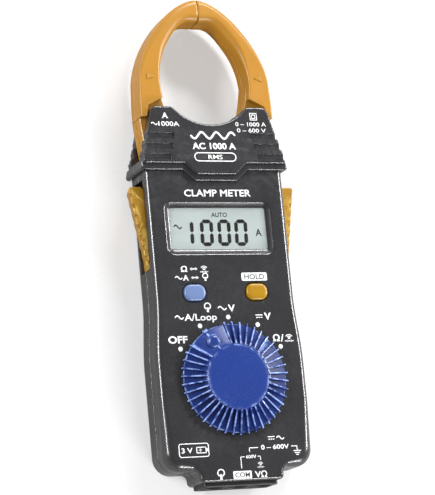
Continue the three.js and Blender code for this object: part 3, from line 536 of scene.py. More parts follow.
def shader_group(
    name: str, inputs: dict[str, float], outputs: Sequence[str], fill: GroupFill
) -> bpy.types.NodeTree:
    """Builds a node group once and hands out the same one after that.

    Args:
        name: The group's name.
        inputs: Named number inputs and their usual values.
        outputs: Named number outputs.
        fill: Makes the nodes between them and returns a socket for each output.

    Returns:
        The group.
    """
    if name in bpy.data.node_groups:
        return bpy.data.node_groups[name]
    tree = bpy.data.node_groups.new(name, "ShaderNodeTree")
    for key, value in inputs.items():
        socket = tree.interface.new_socket(name=key, in_out="INPUT", socket_type="NodeSocketFloat")
        socket.default_value = value
    for key in outputs:
        tree.interface.new_socket(name=key, in_out="OUTPUT", socket_type="NodeSocketFloat")
    results = fill(tree, tree.nodes.new("NodeGroupInput"))
    add_node(tree, "NodeGroupOutput", results)
    return tree


def object_noise(
    tree: bpy.types.NodeTree, size_mm: object, detail: float = 3.0, **extra: float
) -> bpy.types.NodeSocket:
    """Noise whose features are a given size on the object.

    Args:
        tree: The tree it goes into.
        size_mm: Feature size in millimetres, or the socket that gives it.
        detail: Octaves.
        **extra: Other inputs of the Noise node.

    Returns:
        The noise's value, about 0.5 on average.
    """
    where = add_node(tree, "ShaderNodeTexCoord").outputs["Object"]
    scale = math_node(tree, "DIVIDE", 1 / MM, size_mm)
    inputs = {"Vector": where, "Scale": scale, "Detail": detail, **extra}
    return add_node(tree, "ShaderNodeTexNoise", inputs).outputs[0]


def moulded_grain() -> bpy.types.NodeTree:
    """The fine spark texture of a moulding tool: a height and a speckle mask."""

    def fill(tree: bpy.types.NodeTree, given: bpy.types.Node) -> dict[str, bpy.types.NodeSocket]:
        """Mixes rounded pits with finer noise.

        Args:
            tree: The group's tree.
            given: Its input node.

        Returns:
            A socket for each output.
        """
        where = add_node(tree, "ShaderNodeTexCoord").outputs["Object"]
        scale = math_node(tree, "DIVIDE", 1 / MM, given.outputs["Grain Size"])
        cells = add_node(tree, "ShaderNodeTexVoronoi", {"Vector": where, "Scale": scale}, feature="SMOOTH_F1")
        fine = object_noise(tree, given.outputs["Grain Size"], 4.0)
        height = math_node(tree, "ADD", cells.outputs["Distance"], math_node(tree, "MULTIPLY", fine, 0.8))
        patch = object_noise(tree, given.outputs["Patch Size"], 2.0)
        return {
            "Height": height,
            "Speckle": spread(tree, fine, 0.56, 0.7),
            "Patches": spread(tree, patch, 0.35, 0.65),
        }

    usual = {"Grain Size": 0.25, "Patch Size": 14.0}
    return shader_group("moulded_grain", usual, ("Height", "Speckle", "Patches"), fill)


def edge_wear() -> bpy.types.NodeTree:
    """Where handling has rubbed raised edges, and painted highlights along sharp edges, broken up by noise.
    """

    def fill(tree: bpy.types.NodeTree, given: bpy.types.Node) -> dict[str, bpy.types.NodeSocket]:
        """Reads how far a surface bulges and thins it out with noise.

        Args:
            tree: The group's tree.
            given: Its input node.

        Returns:
            A socket for each output.
        """
        bulge = add_node(tree, "ShaderNodeNewGeometry").outputs["Pointiness"]
        edge = spread(tree, bulge, 0.515, 0.58)
        ragged = spread(tree, object_noise(tree, 2.2, 5.0), 0.38, 0.62)
        worn = math_node(tree, "MULTIPLY", edge, ragged)
        return {"Wear": math_node(tree, "MULTIPLY", worn, given.outputs["Amount"])}

    return shader_group("edge_wear", {"Amount": 0.5}, ("Wear",), fill)


def handling() -> bpy.types.NodeTree:
    """Faint finger marks and dust: a roughness shift and a dust mask on upward faces."""

    def fill(tree: bpy.types.NodeTree, given: bpy.types.Node) -> dict[str, bpy.types.NodeSocket]:
        """Combines broad smears with fine dust.

        Args:
            tree: The group's tree.
            given: Its input node.

        Returns:
            A socket for each output.
        """
        smear = object_noise(tree, 9.0, 3.0, Distortion=0.2)
        shift = math_node(tree, "MULTIPLY", math_node(tree, "SUBTRACT", smear, 0.5), given.outputs["Smear"])
        normal = add_node(tree, "ShaderNodeNewGeometry").outputs["Normal"]
        up = spread(tree, add_node(tree, "ShaderNodeSeparateXYZ", {0: normal}).outputs["Z"], 0.4, 0.95)
        specks = spread(tree, object_noise(tree, 0.5, 6.0), 0.6, 0.72)
        dust = math_node(tree, "MULTIPLY", math_node(tree, "MULTIPLY", up, specks), given.outputs["Dust"])
        return {"Roughness Shift": shift, "Dust": dust}

    return shader_group("handling", {"Smear": 0.2, "Dust": 0.1}, ("Roughness Shift", "Dust"), fill)


def drawn_lines() -> bpy.types.NodeTree:
    """Fine parallel scratches on metal, along one axis: a height and a mask."""

    def fill(tree: bpy.types.NodeTree, given: bpy.types.Node) -> dict[str, bpy.types.NodeSocket]:
        """Stretches noise a long way along Y.

        Args:
            tree: The group's tree.
            given: Its input node.

        Returns:
            A socket for each output.
        """
        where = add_node(tree, "ShaderNodeTexCoord").outputs["Object"]
        stretch = add_node(tree, "ShaderNodeMapping", {"Vector": where, "Scale": (1.0, 0.04, 1.0)}).outputs[0]
        scale = math_node(tree, "DIVIDE", 1 / MM, given.outputs["Line Width"])
        inputs = {"Vector": stretch, "Scale": scale, "Detail": 5.0}
        lines = add_node(tree, "ShaderNodeTexNoise", inputs).outputs[0]
        return {"Height": lines, "Mask": spread(tree, lines, 0.4, 0.6)}

    return shader_group("drawn_lines", {"Line Width": 0.12}, ("Height", "Mask"), fill)


# ---- Finishes ----


class Recipe:
    """A material being made: its tree and its main shader."""

    def __init__(self, name: str) -> None:
        """Starts an empty material with a Principled shader.

        Args:
            name: The material's name.
        """
        self.material = bpy.data.materials.new(name)
        self.material.use_nodes = True
        self.tree = self.material.node_tree
        self.tree.nodes.clear()
        self.shader = self.tree.nodes.new("ShaderNodeBsdfPrincipled")
        add_node(self.tree, "ShaderNodeOutputMaterial", {"Surface": self.shader.outputs[0]})

    def set(self, **values: object) -> None:
        """Sets or links the shader's inputs; underscores stand for spaces."""
        for key, value in values.items():
            socket = self.shader.inputs[key.replace("_", " ")]
            if isinstance(value, bpy.types.NodeSocket):
                self.tree.links.new(value, socket)
            else:
                socket.default_value = with_alpha(value)

    def group(self, tree: bpy.types.NodeTree, **values: float) -> bpy.types.Node:
        """Places a shader group with its own values; underscores stand for spaces.

        Args:
            tree: The group.
            **values: Its inputs' values.

        Returns:
            The group's node.
        """
        inputs = {key.replace("_", " "): value for key, value in values.items()}
        node = self.tree.nodes.new("ShaderNodeGroup")
        node.node_tree = tree
        for key, value in inputs.items():
            node.inputs[key].default_value = value
        return node

    def bump(self, height: bpy.types.NodeSocket, depth_mm: float, strength: float = 1.0) -> None:
        """Feeds a height, in shares of a depth, into the shader's normal."""
        inputs = {"Height": height, "Distance": depth_mm * MM, "Strength": strength}
        self.set(Normal=add_node(self.tree, "ShaderNodeBump", inputs).outputs[0])


@dataclass(frozen=True)
class MouldedPlastic:
    """An injection moulding: its colour, its tool texture, how it has been handled and, on some, painted
    highlights along sharp edges.
    """

    name: str
    colour: Colour
    # the colour that sharp edges turn to: rubbed plastic, and on the dial and the levers a lighter painted
    # highlight
    worn: Colour
    roughness: float = 0.5
    grain: float = 0.25  # size of the tool texture in millimetres
    relief: float = 0.02  # its depth in millimetres
    variation: float = 0.12  # how much the colour drifts over the surface
    speckle: float = 0.25  # how much the texture's peaks catch the light
    # how strongly sharp edges take that colour, as rubbing and as painted highlight
    wear: float = 0.5
    dust: float = 0.08
    gloss: float = 0.0  # a clear layer, as on polished mouldings

    def build(self) -> bpy.types.Material:
        """Makes the material.

        Returns:
            The new material.
        """
        recipe = Recipe(self.name)
        tree = recipe.tree
        grain = recipe.group(moulded_grain(), Grain_Size=self.grain)
        wear = recipe.group(edge_wear(), Amount=self.wear)
        hands = recipe.group(handling(), Smear=0.22, Dust=self.dust)
        deeper = tuple(channel * (1 - self.variation) for channel in self.colour)
        channels = zip(self.colour, self.worn, strict=True)
        lighter = tuple(channel + (light - channel) * 0.5 for channel, light in channels)
        colour = blend_colours(tree, grain.outputs["Patches"], deeper, self.colour)
        flecks = math_node(tree, "MULTIPLY", grain.outputs["Speckle"], self.speckle)
        colour = blend_colours(tree, flecks, colour, lighter)
        # Sharp edges lighten towards the edge colour: rubbed plastic, and on the dial and the levers a
        # painted highlight.
        colour = blend_colours(tree, wear.outputs["Wear"], colour, self.worn)
        colour = blend_colours(tree, hands.outputs["Dust"], colour, (0.5, 0.48, 0.45))
        rough = math_node(tree, "ADD", hands.outputs["Roughness Shift"], self.roughness)
        rough = math_node(tree, "SUBTRACT", rough, math_node(tree, "MULTIPLY", wear.outputs["Wear"], 0.15))
        recipe.set(Base_Color=colour, Roughness=rough, Coat_Weight=self.gloss, Coat_Roughness=0.2)
        recipe.bump(grain.outputs["Height"], self.relief)
        return recipe.material


@dataclass(frozen=True)
class Metal:
    """Drawn, rolled or turned metal with fine lines and a little tarnish."""

    name: str
    colour: Colour
    tarnish: Colour
    roughness: float = 0.3
    line_width: float = 0.12

    def build(self) -> bpy.types.Material:
        """Makes the material.

        Returns:
            The new material.
        """
        recipe = Recipe(self.name)
        tree = recipe.tree
        lines = recipe.group(drawn_lines(), Line_Width=self.line_width)
        hands = recipe.group(handling(), Smear=0.3, Dust=0.05)
        patches = spread(tree, object_noise(tree, 3.0, 4.0), 0.5, 0.75, (0, 0.6))
        colour = blend_colours(tree, patches, self.colour, self.tarnish)
        drawn = math_node(tree, "MULTIPLY", lines.outputs["Mask"], 0.12)
        rough = math_node(tree, "ADD", drawn, self.roughness)
        rough = math_node(tree, "ADD", rough, hands.outputs["Roughness Shift"])
        recipe.set(Base_Color=colour, Roughness=rough, Metallic=1.0)
        recipe.bump(lines.outputs["Height"], 0.006)
        return recipe.material


@dataclass(frozen=True)
class ClearPane:
    """A clear moulded pane with faint ripples and wiping marks."""

    name: str = "clear_pane"

    def build(self) -> bpy.types.Material:
        """Makes the material.

        Returns:
            The new material.
        """
        recipe = Recipe(self.name)
        tree = recipe.tree
        hands = recipe.group(handling(), Smear=0.06, Dust=0.0)
        rough = math_node(tree, "ADD", hands.outputs["Roughness Shift"], 0.05)
        recipe.set(Base_Color=(0.97, 0.99, 0.98), Roughness=rough, IOR=1.46, Transmission_Weight=1.0)
        recipe.bump(object_noise(tree, 12.0, 1.0), 0.004)
        return recipe.material


@dataclass(frozen=True)
class DisplayGlass:
    """The face of a reflective display: a grey-green sheet over a fine weave, with a faint painted glow of
    its own.
    """

    name: str = "display_glass"
    colour: Colour = (0.58, 0.635, 0.63)
    shade: Colour = (0.54, 0.59, 0.585)

    def build(self) -> bpy.types.Material:
        """Makes the material.

        Returns:
            The new material.
        """
        recipe = Recipe(self.name)
        tree = recipe.tree
        where = add_node(tree, "ShaderNodeTexCoord").outputs["Object"]
        settings = {"Vector": where, "Scale": 1 / (0.5 * MM), "Distortion": 0.0, "Detail": 0.0}
        weave = add_node(tree, "ShaderNodeTexWave", settings, bands_direction="DIAGONAL").outputs[1]
        cloud = spread(tree, object_noise(tree, 16.0, 2.0), 0.3, 0.7)
        amount = math_node(tree, "ADD", cloud, math_node(tree, "MULTIPLY", weave, 0.3))
        amount = math_node(tree, "MULTIPLY", amount, 0.7)
        recipe.set(Base_Color=blend_colours(tree, amount, self.colour, self.shade))
        recipe.set(Roughness=spread(tree, cloud, 0, 1, (0.28, 0.4)), Coat_Weight=0.3, Coat_Roughness=0.08)
        # The sheet glows faintly in its own colour: painted light that brightens it.
        recipe.set(Emission_Color=self.colour, Emission_Strength=0.46)
        recipe.bump(weave, 0.003)
        return recipe.material


@dataclass(frozen=True)
class Ink:
    """Printed lettering: thin paint with slightly uneven cover."""

    name: str
    colour: Colour
    thin: Colour

    def build(self) -> bpy.types.Material:
        """Makes the material.

        Returns:
            The new material.
        """
        recipe = Recipe(self.name)
        tree = recipe.tree
        cover = spread(tree, object_noise(tree, 0.3, 5.0), 0.3, 0.5)
        rough = spread(tree, cover, 0, 1, (0.6, 0.42))
        recipe.set(Base_Color=blend_colours(tree, cover, self.thin, self.colour), Roughness=rough)
        recipe.bump(cover, 0.01)
        return recipe.material


@dataclass(frozen=True)
class Striped:
    """A stack or a winding: thin layers of one colour with darker lines between them."""

    name: str
    colour: Colour
    gap: Colour
    pitch: float  # of the layers, in millimetres
    metallic: float
    roughness: float
    axis: str = "Z"

    def build(self) -> bpy.types.Material:
        """Makes the material.

        Returns:
            The new material.
        """
        recipe = Recipe(self.name)
        tree = recipe.tree
        where = add_node(tree, "ShaderNodeTexCoord").outputs["Object"]
        scale = math.pi / (10 * self.pitch * MM)
        settings = {"Vector": where, "Scale": scale, "Distortion": 0.6, "Detail": 2.0}
        wave = add_node(tree, "ShaderNodeTexWave", settings, bands_direction=self.axis).outputs[1]
        line = spread(tree, wave, 0.1, 0.5)
        stain = spread(tree, object_noise(tree, 4.0, 4.0), 0.45, 0.7, (0, 0.35))
        colour = blend_colours(tree, stain, blend_colours(tree, line, self.gap, self.colour), self.gap)
        rough = math_node(tree, "ADD", math_node(tree, "MULTIPLY", stain, 0.5), self.roughness)
        recipe.set(Base_Color=colour, Roughness=rough, Metallic=self.metallic)
        recipe.bump(line, 0.05)
        return recipe.material


@dataclass(frozen=True)
class SolderMask:
    """A circuit board: green mask over copper tracks, with pads showing."""

    name: str = "solder_mask"

    def build(self) -> bpy.types.Material:
        """Makes the material.

        Returns:
            The new material.
        """
        recipe = Recipe(self.name)
        tree = recipe.tree
        where = add_node(tree, "ShaderNodeTexCoord").outputs["Object"]
        settings = {"Vector": where, "Scale": 1 / (3 * MM), "Randomness": 0.35}
        shape = {"distance": "CHEBYCHEV", "feature": "DISTANCE_TO_EDGE"}
        cells = add_node(tree, "ShaderNodeTexVoronoi", settings, **shape)
        tracks = spread(tree, cells.outputs["Distance"], 0.12, 0.16)
        settings = {"Vector": where, "Scale": 1 / (2.5 * MM), "Randomness": 0.5}
        pads = add_node(tree, "ShaderNodeTexVoronoi", settings)
        pad = spread(tree, pads.outputs["Distance"], 0.22, 0.18)
        mask = blend_colours(tree, tracks, (0.02, 0.17, 0.06), (0.008, 0.075, 0.026))
        recipe.set(Base_Color=blend_colours(tree, pad, mask, (0.6, 0.58, 0.55)), Metallic=pad)
        recipe.set(Roughness=spread(tree, pad, 0, 1, (0.32, 0.45)), Coat_Weight=0.25)
        recipe.bump(math_node(tree, "SUBTRACT", pad, math_node(tree, "MULTIPLY", tracks, 0.5)), 0.04)
        return recipe.material


@dataclass(frozen=True)
class StudioPaper:
    """The pale paper that the meter lies on."""

    name: str = "studio_paper"
    colour: Colour = (0.47, 0.47, 0.47)
    glow: float = 0.45  # its own light towards the camera, which lifts its shadows

    def build(self) -> bpy.types.Material:
        """Makes the material.

        Returns:
            The new material.
        """
        recipe = Recipe(self.name)
        tree = recipe.tree
        fibre = object_noise(tree, 1.5, 5.0)
        cover = spread(tree, fibre, 0.3, 0.7)
        recipe.set(Base_Color=blend_colours(tree, cover, (0.45, 0.45, 0.45), self.colour), Roughness=0.9)
        seen = add_node(tree, "ShaderNodeLightPath").outputs["Is Camera Ray"]
        strength = math_node(tree, "MULTIPLY", seen, self.glow)
        recipe.set(Emission_Color=(1.0, 1.0, 1.0), Emission_Strength=strength)
        recipe.bump(fibre, 0.02)
        return recipe.material


class Finish(Enum):
    """Every finish on the meter, by what it is used for."""

    CHARCOAL = MouldedPlastic(
        "charcoal_moulding",
        (0.020, 0.020, 0.0225),
        (0.075, 0.075, 0.08),
        roughness=0.26, grain=0.3, relief=0.006, variation=0.15, speckle=0.3, wear=0.5,
        dust=0.06, gloss=0.6,
    )
    YELLOW = MouldedPlastic(
        "yellow_moulding",
        (0.41, 0.19, 0.018),
        (0.52, 0.30, 0.07),
        roughness=0.36, grain=0.35, relief=0.006, variation=0.07, speckle=0.1, wear=0.5,
    )
    # The light edge colour and the strong edge share paint highlights on the levers' edges and scallop rims.
    LEVER_YELLOW = MouldedPlastic(
        "lever_moulding",
        (0.40, 0.20, 0.008),
        (0.62, 0.42, 0.1),
        roughness=0.36, grain=0.35, relief=0.006, variation=0.1, speckle=0.1, wear=1.6,
    )
    # The pale edge colour and the strong edge share paint highlights along the ribs' edges.
    BLUE = MouldedPlastic(
        "dial_moulding",
        (0.012, 0.035, 0.20),
        (0.30, 0.42, 0.8),
        roughness=0.25, grain=0.22, relief=0.003, variation=0.06, speckle=0.06, wear=2.2,
    )
    PALE_BLUE = MouldedPlastic(
        "select_moulding",
        (0.125, 0.185, 0.36),
        (0.24, 0.31, 0.46),
        roughness=0.3, grain=0.3, relief=0.003, variation=0.05, speckle=0.05, wear=0.4,
    )
    AMBER = MouldedPlastic(
        "hold_moulding",
        (0.34, 0.175, 0.001),
        (0.46, 0.29, 0.03),
        roughness=0.3, grain=0.3, relief=0.003, variation=0.05, speckle=0.05, wear=0.4,
    )
    BLACK = MouldedPlastic(
        "black_moulding",
        (0.012, 0.012, 0.013),
        (0.06, 0.06, 0.06),
        roughness=0.45, grain=0.25, relief=0.012, variation=0.2, speckle=0.2, wear=0.4,
    )
    WHITE = MouldedPlastic(
        "natural_moulding",
        (0.72, 0.69, 0.62),
        (0.8, 0.78, 0.72),
        roughness=0.5, grain=0.3, relief=0.01, variation=0.06, speckle=0.1, wear=0.3,
    )
    RUBBER = MouldedPlastic(
        "black_rubber",
        (0.018, 0.018, 0.018),
        (0.05, 0.05, 0.05),
        roughness=0.8, grain=0.2, relief=0.02, variation=0.2, speckle=0.1, wear=0.2,
    )
    STEEL = Metal("plated_steel", (0.56, 0.57, 0.58), (0.34, 0.33, 0.31), 0.3)
    SPRING = Metal("spring_steel", (0.62, 0.62, 0.62), (0.4, 0.38, 0.35), 0.24, 0.08)
    BRASS = Metal("bright_brass", (0.76, 0.56, 0.24), (0.42, 0.27, 0.1), 0.26)
    CLEAR = ClearPane()
    DISPLAY = DisplayGlass()
    WHITE_INK = Ink("white_ink", (0.84, 0.85, 0.85), (0.55, 0.55, 0.56))
    DARK_INK = Ink("dark_ink", (0.035, 0.035, 0.038), (0.08, 0.08, 0.08))
    SEGMENT = Ink("display_segment", (0.004, 0.005, 0.005), (0.012, 0.014, 0.014))
    LAMINATIONS = Striped("core_laminations", (0.35, 0.36, 0.38), (0.1, 0.1, 0.11), 0.5, 0.9, 0.4)
    WINDINGS = Striped("coil_windings", (0.62, 0.24, 0.08), (0.16, 0.04, 0.01), 0.25, 0.8, 0.3, "Y")
    BOARD = SolderMask()
    PAPER = StudioPaper()

    @cached_property
    def material(self) -> bpy.types.Material:
        """The finish's material, made the first time it is asked for."""
        return self.value.build()


# ---- Printed marks ----


@dataclass
class Marks:
    """Flat printed shapes that are gathered into one thin sheet."""

    points: list[Place] = field(default_factory=list)
    faces: list[list[int]] = field(default_factory=list)

    def shape(self, outline: Outline) -> None:
        """Adds a filled outline.

        Args:
            outline: A counter-clockwise outline.
        """
        first = len(self.points)
        self.points += [(x, y, 0.0) for x, y in outline]
        self.faces.append(list(range(first, len(self.points))))

    def ring(self, outer: Outline, inner: Outline) -> None:
        """Adds the band between two outlines that have as many points.

        Args:
            outer: The outer outline.
            inner: The inner outline.
        """
        first, count = len(self.points), len(outer)
        self.points += [(x, y, 0.0) for x, y in outer + inner]
        for i in range(count):
            j = (i + 1) % count
            self.faces.append([first + i, first + j, first + count + j, first + count + i])

    def dot(self, x: float, y: float, radius: float) -> None:
        """Adds a filled disc."""
        self.shape(arc(x, y, radius, 0, 360, 28)[:-1])

    def frame_line(self, x: float, y: float, half: Point, radius: float, width: float) -> None:
        """Adds a rounded frame drawn with a line.

        Args:
            x: Centre.
            y: Centre.
            half: Half width and half height to the line's outside.
            radius: Corner radius.
            width: Line width.
        """
        outer = rounded_box(x, y, half, radius, 5)
        self.ring(outer, inset(outer, [width] * len(outer)))

    def line(self, route: Outline, width: float) -> None:
        """Adds a mitred line of constant width along a route.

        Args:
            route: The points it runs through.
            width: Its width.
        """
        steps = []
        for (ax, ay), (bx, by) in zip(route, route[1:], strict=False):
            length = math.hypot(bx - ax, by - ay)
            steps.append(((bx - ax) / length, (by - ay) / length))
        first = len(self.points)
        for i, (x, y) in enumerate(route):
            (ax, ay), (bx, by) = steps[max(0, i - 1)], steps[min(len(steps) - 1, i)]
            reach = width / 2 / (1 + ax * bx + ay * by)
            dx, dy = (ay + by) * reach, -(ax + bx) * reach
            self.points += [(x + dx, y + dy, 0.0), (x - dx, y - dy, 0.0)]
        for i in range(len(steps)):
            k = first + 2 * i
            self.faces.append([k, k + 2, k + 3, k + 1])

    def text(self, words: str, x: float, y: float, height: float, width: float, weight: float = 0.03) -> None:
        """Adds lettering, fitted to a width.

        Args:
            words: What it says.
            x: Centre.
            y: Centre.
            height: Height of its capitals.
            width: Width of the whole line.
            weight: How much bolder than the font it is, as a share of the size.
        """
        curve = bpy.data.curves.new("lettering", "FONT")
        curve.body, curve.size, curve.offset = words, 1.0, weight
        curve.resolution_u = 3
        helper = bpy.data.objects.new("lettering", curve)
        bpy.context.scene.collection.objects.link(helper)
        mesh = bpy.data.meshes.new_from_object(helper.evaluated_get(bpy.context.evaluated_depsgraph_get()))
        bpy.data.objects.remove(helper)
        xs, ys = [v.co.x for v in mesh.vertices], [v.co.y for v in mesh.vertices]
        low, high = min(xs), max(xs)
        capital = CAPITAL + 2 * weight
        bottom = min(ys) if max(ys) - min(ys) < 0.5 * capital else -weight
        middle = bottom + capital / 2 if bottom == -weight else (min(ys) + max(ys)) / 2
        first = len(self.points)
        for vertex in mesh.vertices:
            px = x + ((vertex.co.x - low) / (high - low) - 0.5) * width
            self.points.append((px, y + (vertex.co.y - middle) / capital * height, 0.0))
        self.faces += [[first + corner for corner in face.vertices] for face in mesh.polygons]

    def tilde(self, x: float, y: float, width: float, height: float, weight: float) -> None:
        """Adds one period of a wave, the sign for alternating current."""
        turn = [math.pi * i / 6 for i in range(-6, 7)]
        self.line([(x + a / math.pi * width / 2, y - math.sin(a) * height / 2) for a in turn], weight)

    def direct(self, x: float, y: float, width: float, weight: float) -> None:
        """Adds a line over three dashes, the sign for direct current.

        Args:
            x: Centre.
            y: Centre.
            width: Length of the line.
            weight: Width of the strokes.
        """
        self.line([(x - width / 2, y + 0.45), (x + width / 2, y + 0.45)], weight)
        for i in (-1, 0, 1):
            start, end = x + (i - 0.35) * width / 3, x + (i + 0.35) * width / 3
            self.line([(start, y - 0.45), (end, y - 0.45)], weight)

    def loop_sensor(self, x: float, y: float, radius: float, weight: float) -> None:
        """Adds the sign for a flexible sensor: an open ring with a stub below it.

        Args:
            x: Centre.
            y: Centre.
            radius: Outer radius.
            weight: Width of the strokes.
        """
        outer = arc(x, y, radius, -60, 240, 18)
        inner = arc(x, y, radius - weight, -60, 240, 18)
        self.shape(outer + inner[::-1])
        low, high = y - radius * 1.6, y - radius * 0.35
        self.shape([(x - weight, low), (x + weight, low), (x + weight, high), (x - weight, high)])

    def sounder(self, x: float, y: float, size: float) -> None:
        """Adds the sign for the continuity buzzer: a dome with two waves over a contact line.

        Args:
            x: Centre.
            y: Centre.
            size: Half its width.
        """
        self.shape(arc(x, y - 0.05 * size, 0.3 * size, 0, 180, 10))
        for radius in (0.62, 0.95):
            outer = arc(x, y - 0.05 * size, radius * size, 35, 145, 12)
            inner = arc(x, y - 0.05 * size, (radius - 0.17) * size, 35, 145, 12)
            self.shape(outer + inner[::-1])
        self.line([(x - size, y - 0.5 * size), (x + size, y - 0.5 * size)], 0.17 * size)
        self.dot(x - 0.42 * size, y - 0.5 * size, 0.23 * size)
        self.dot(x + 0.42 * size, y - 0.5 * size, 0.23 * size)

    def two_way(self, x: float, y: float, width: float, weight: float) -> None:
        """Adds a short line with an arrow head at each end.

        Args:
            x: Centre.
            y: Centre.
            width: Whole length.
            weight: Width of the line.
        """
        self.line([(x - width / 2 + 0.5, y), (x + width / 2 - 0.5, y)], weight)
        for sign in (1, -1):
            tip = x + sign * width / 2
            self.shape([(tip, y), (tip - sign * 0.85, y + 0.6), (tip - sign * 0.85, y - 0.6)])

    def place(
        self, name: str, body: str, finish: Finish, slot: str, height: Callable[[float], float]
    ) -> bpy.types.Object:
        """Lays the gathered marks on a surface.

        Args:
            name: The piece's name.
            body: The body that carries it.
            finish: Its finish.
            height: The surface's height at a distance from the socket end.

        Returns:
            The new object.
        """
        mesh = bpy.data.meshes.new(name)
        mesh.from_pydata([(x, y, height(y)) for x, y, _ in self.points], [], self.faces)
        work = bmesh.new()
        work.from_mesh(mesh)
        for face in work.faces:
            face.normal_update()
            if face.normal.z < 0:
                face.normal_flip()
        work.to_mesh(mesh)
        work.free()
        mesh.transform(Matrix.Scale(MM, 4) @ Matrix.Translation((0, SOCKET_END, 0)))
        mesh.materials.append(finish.material)
        sheet = bpy.data.objects.new(name, mesh)
        bpy.context.scene.collection.objects.link(sheet)
        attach(sheet, body)
        log.info("%s: %d shapes, rides on %s", name, len(self.faces), body)
        return sheet


# ---- Casing ----


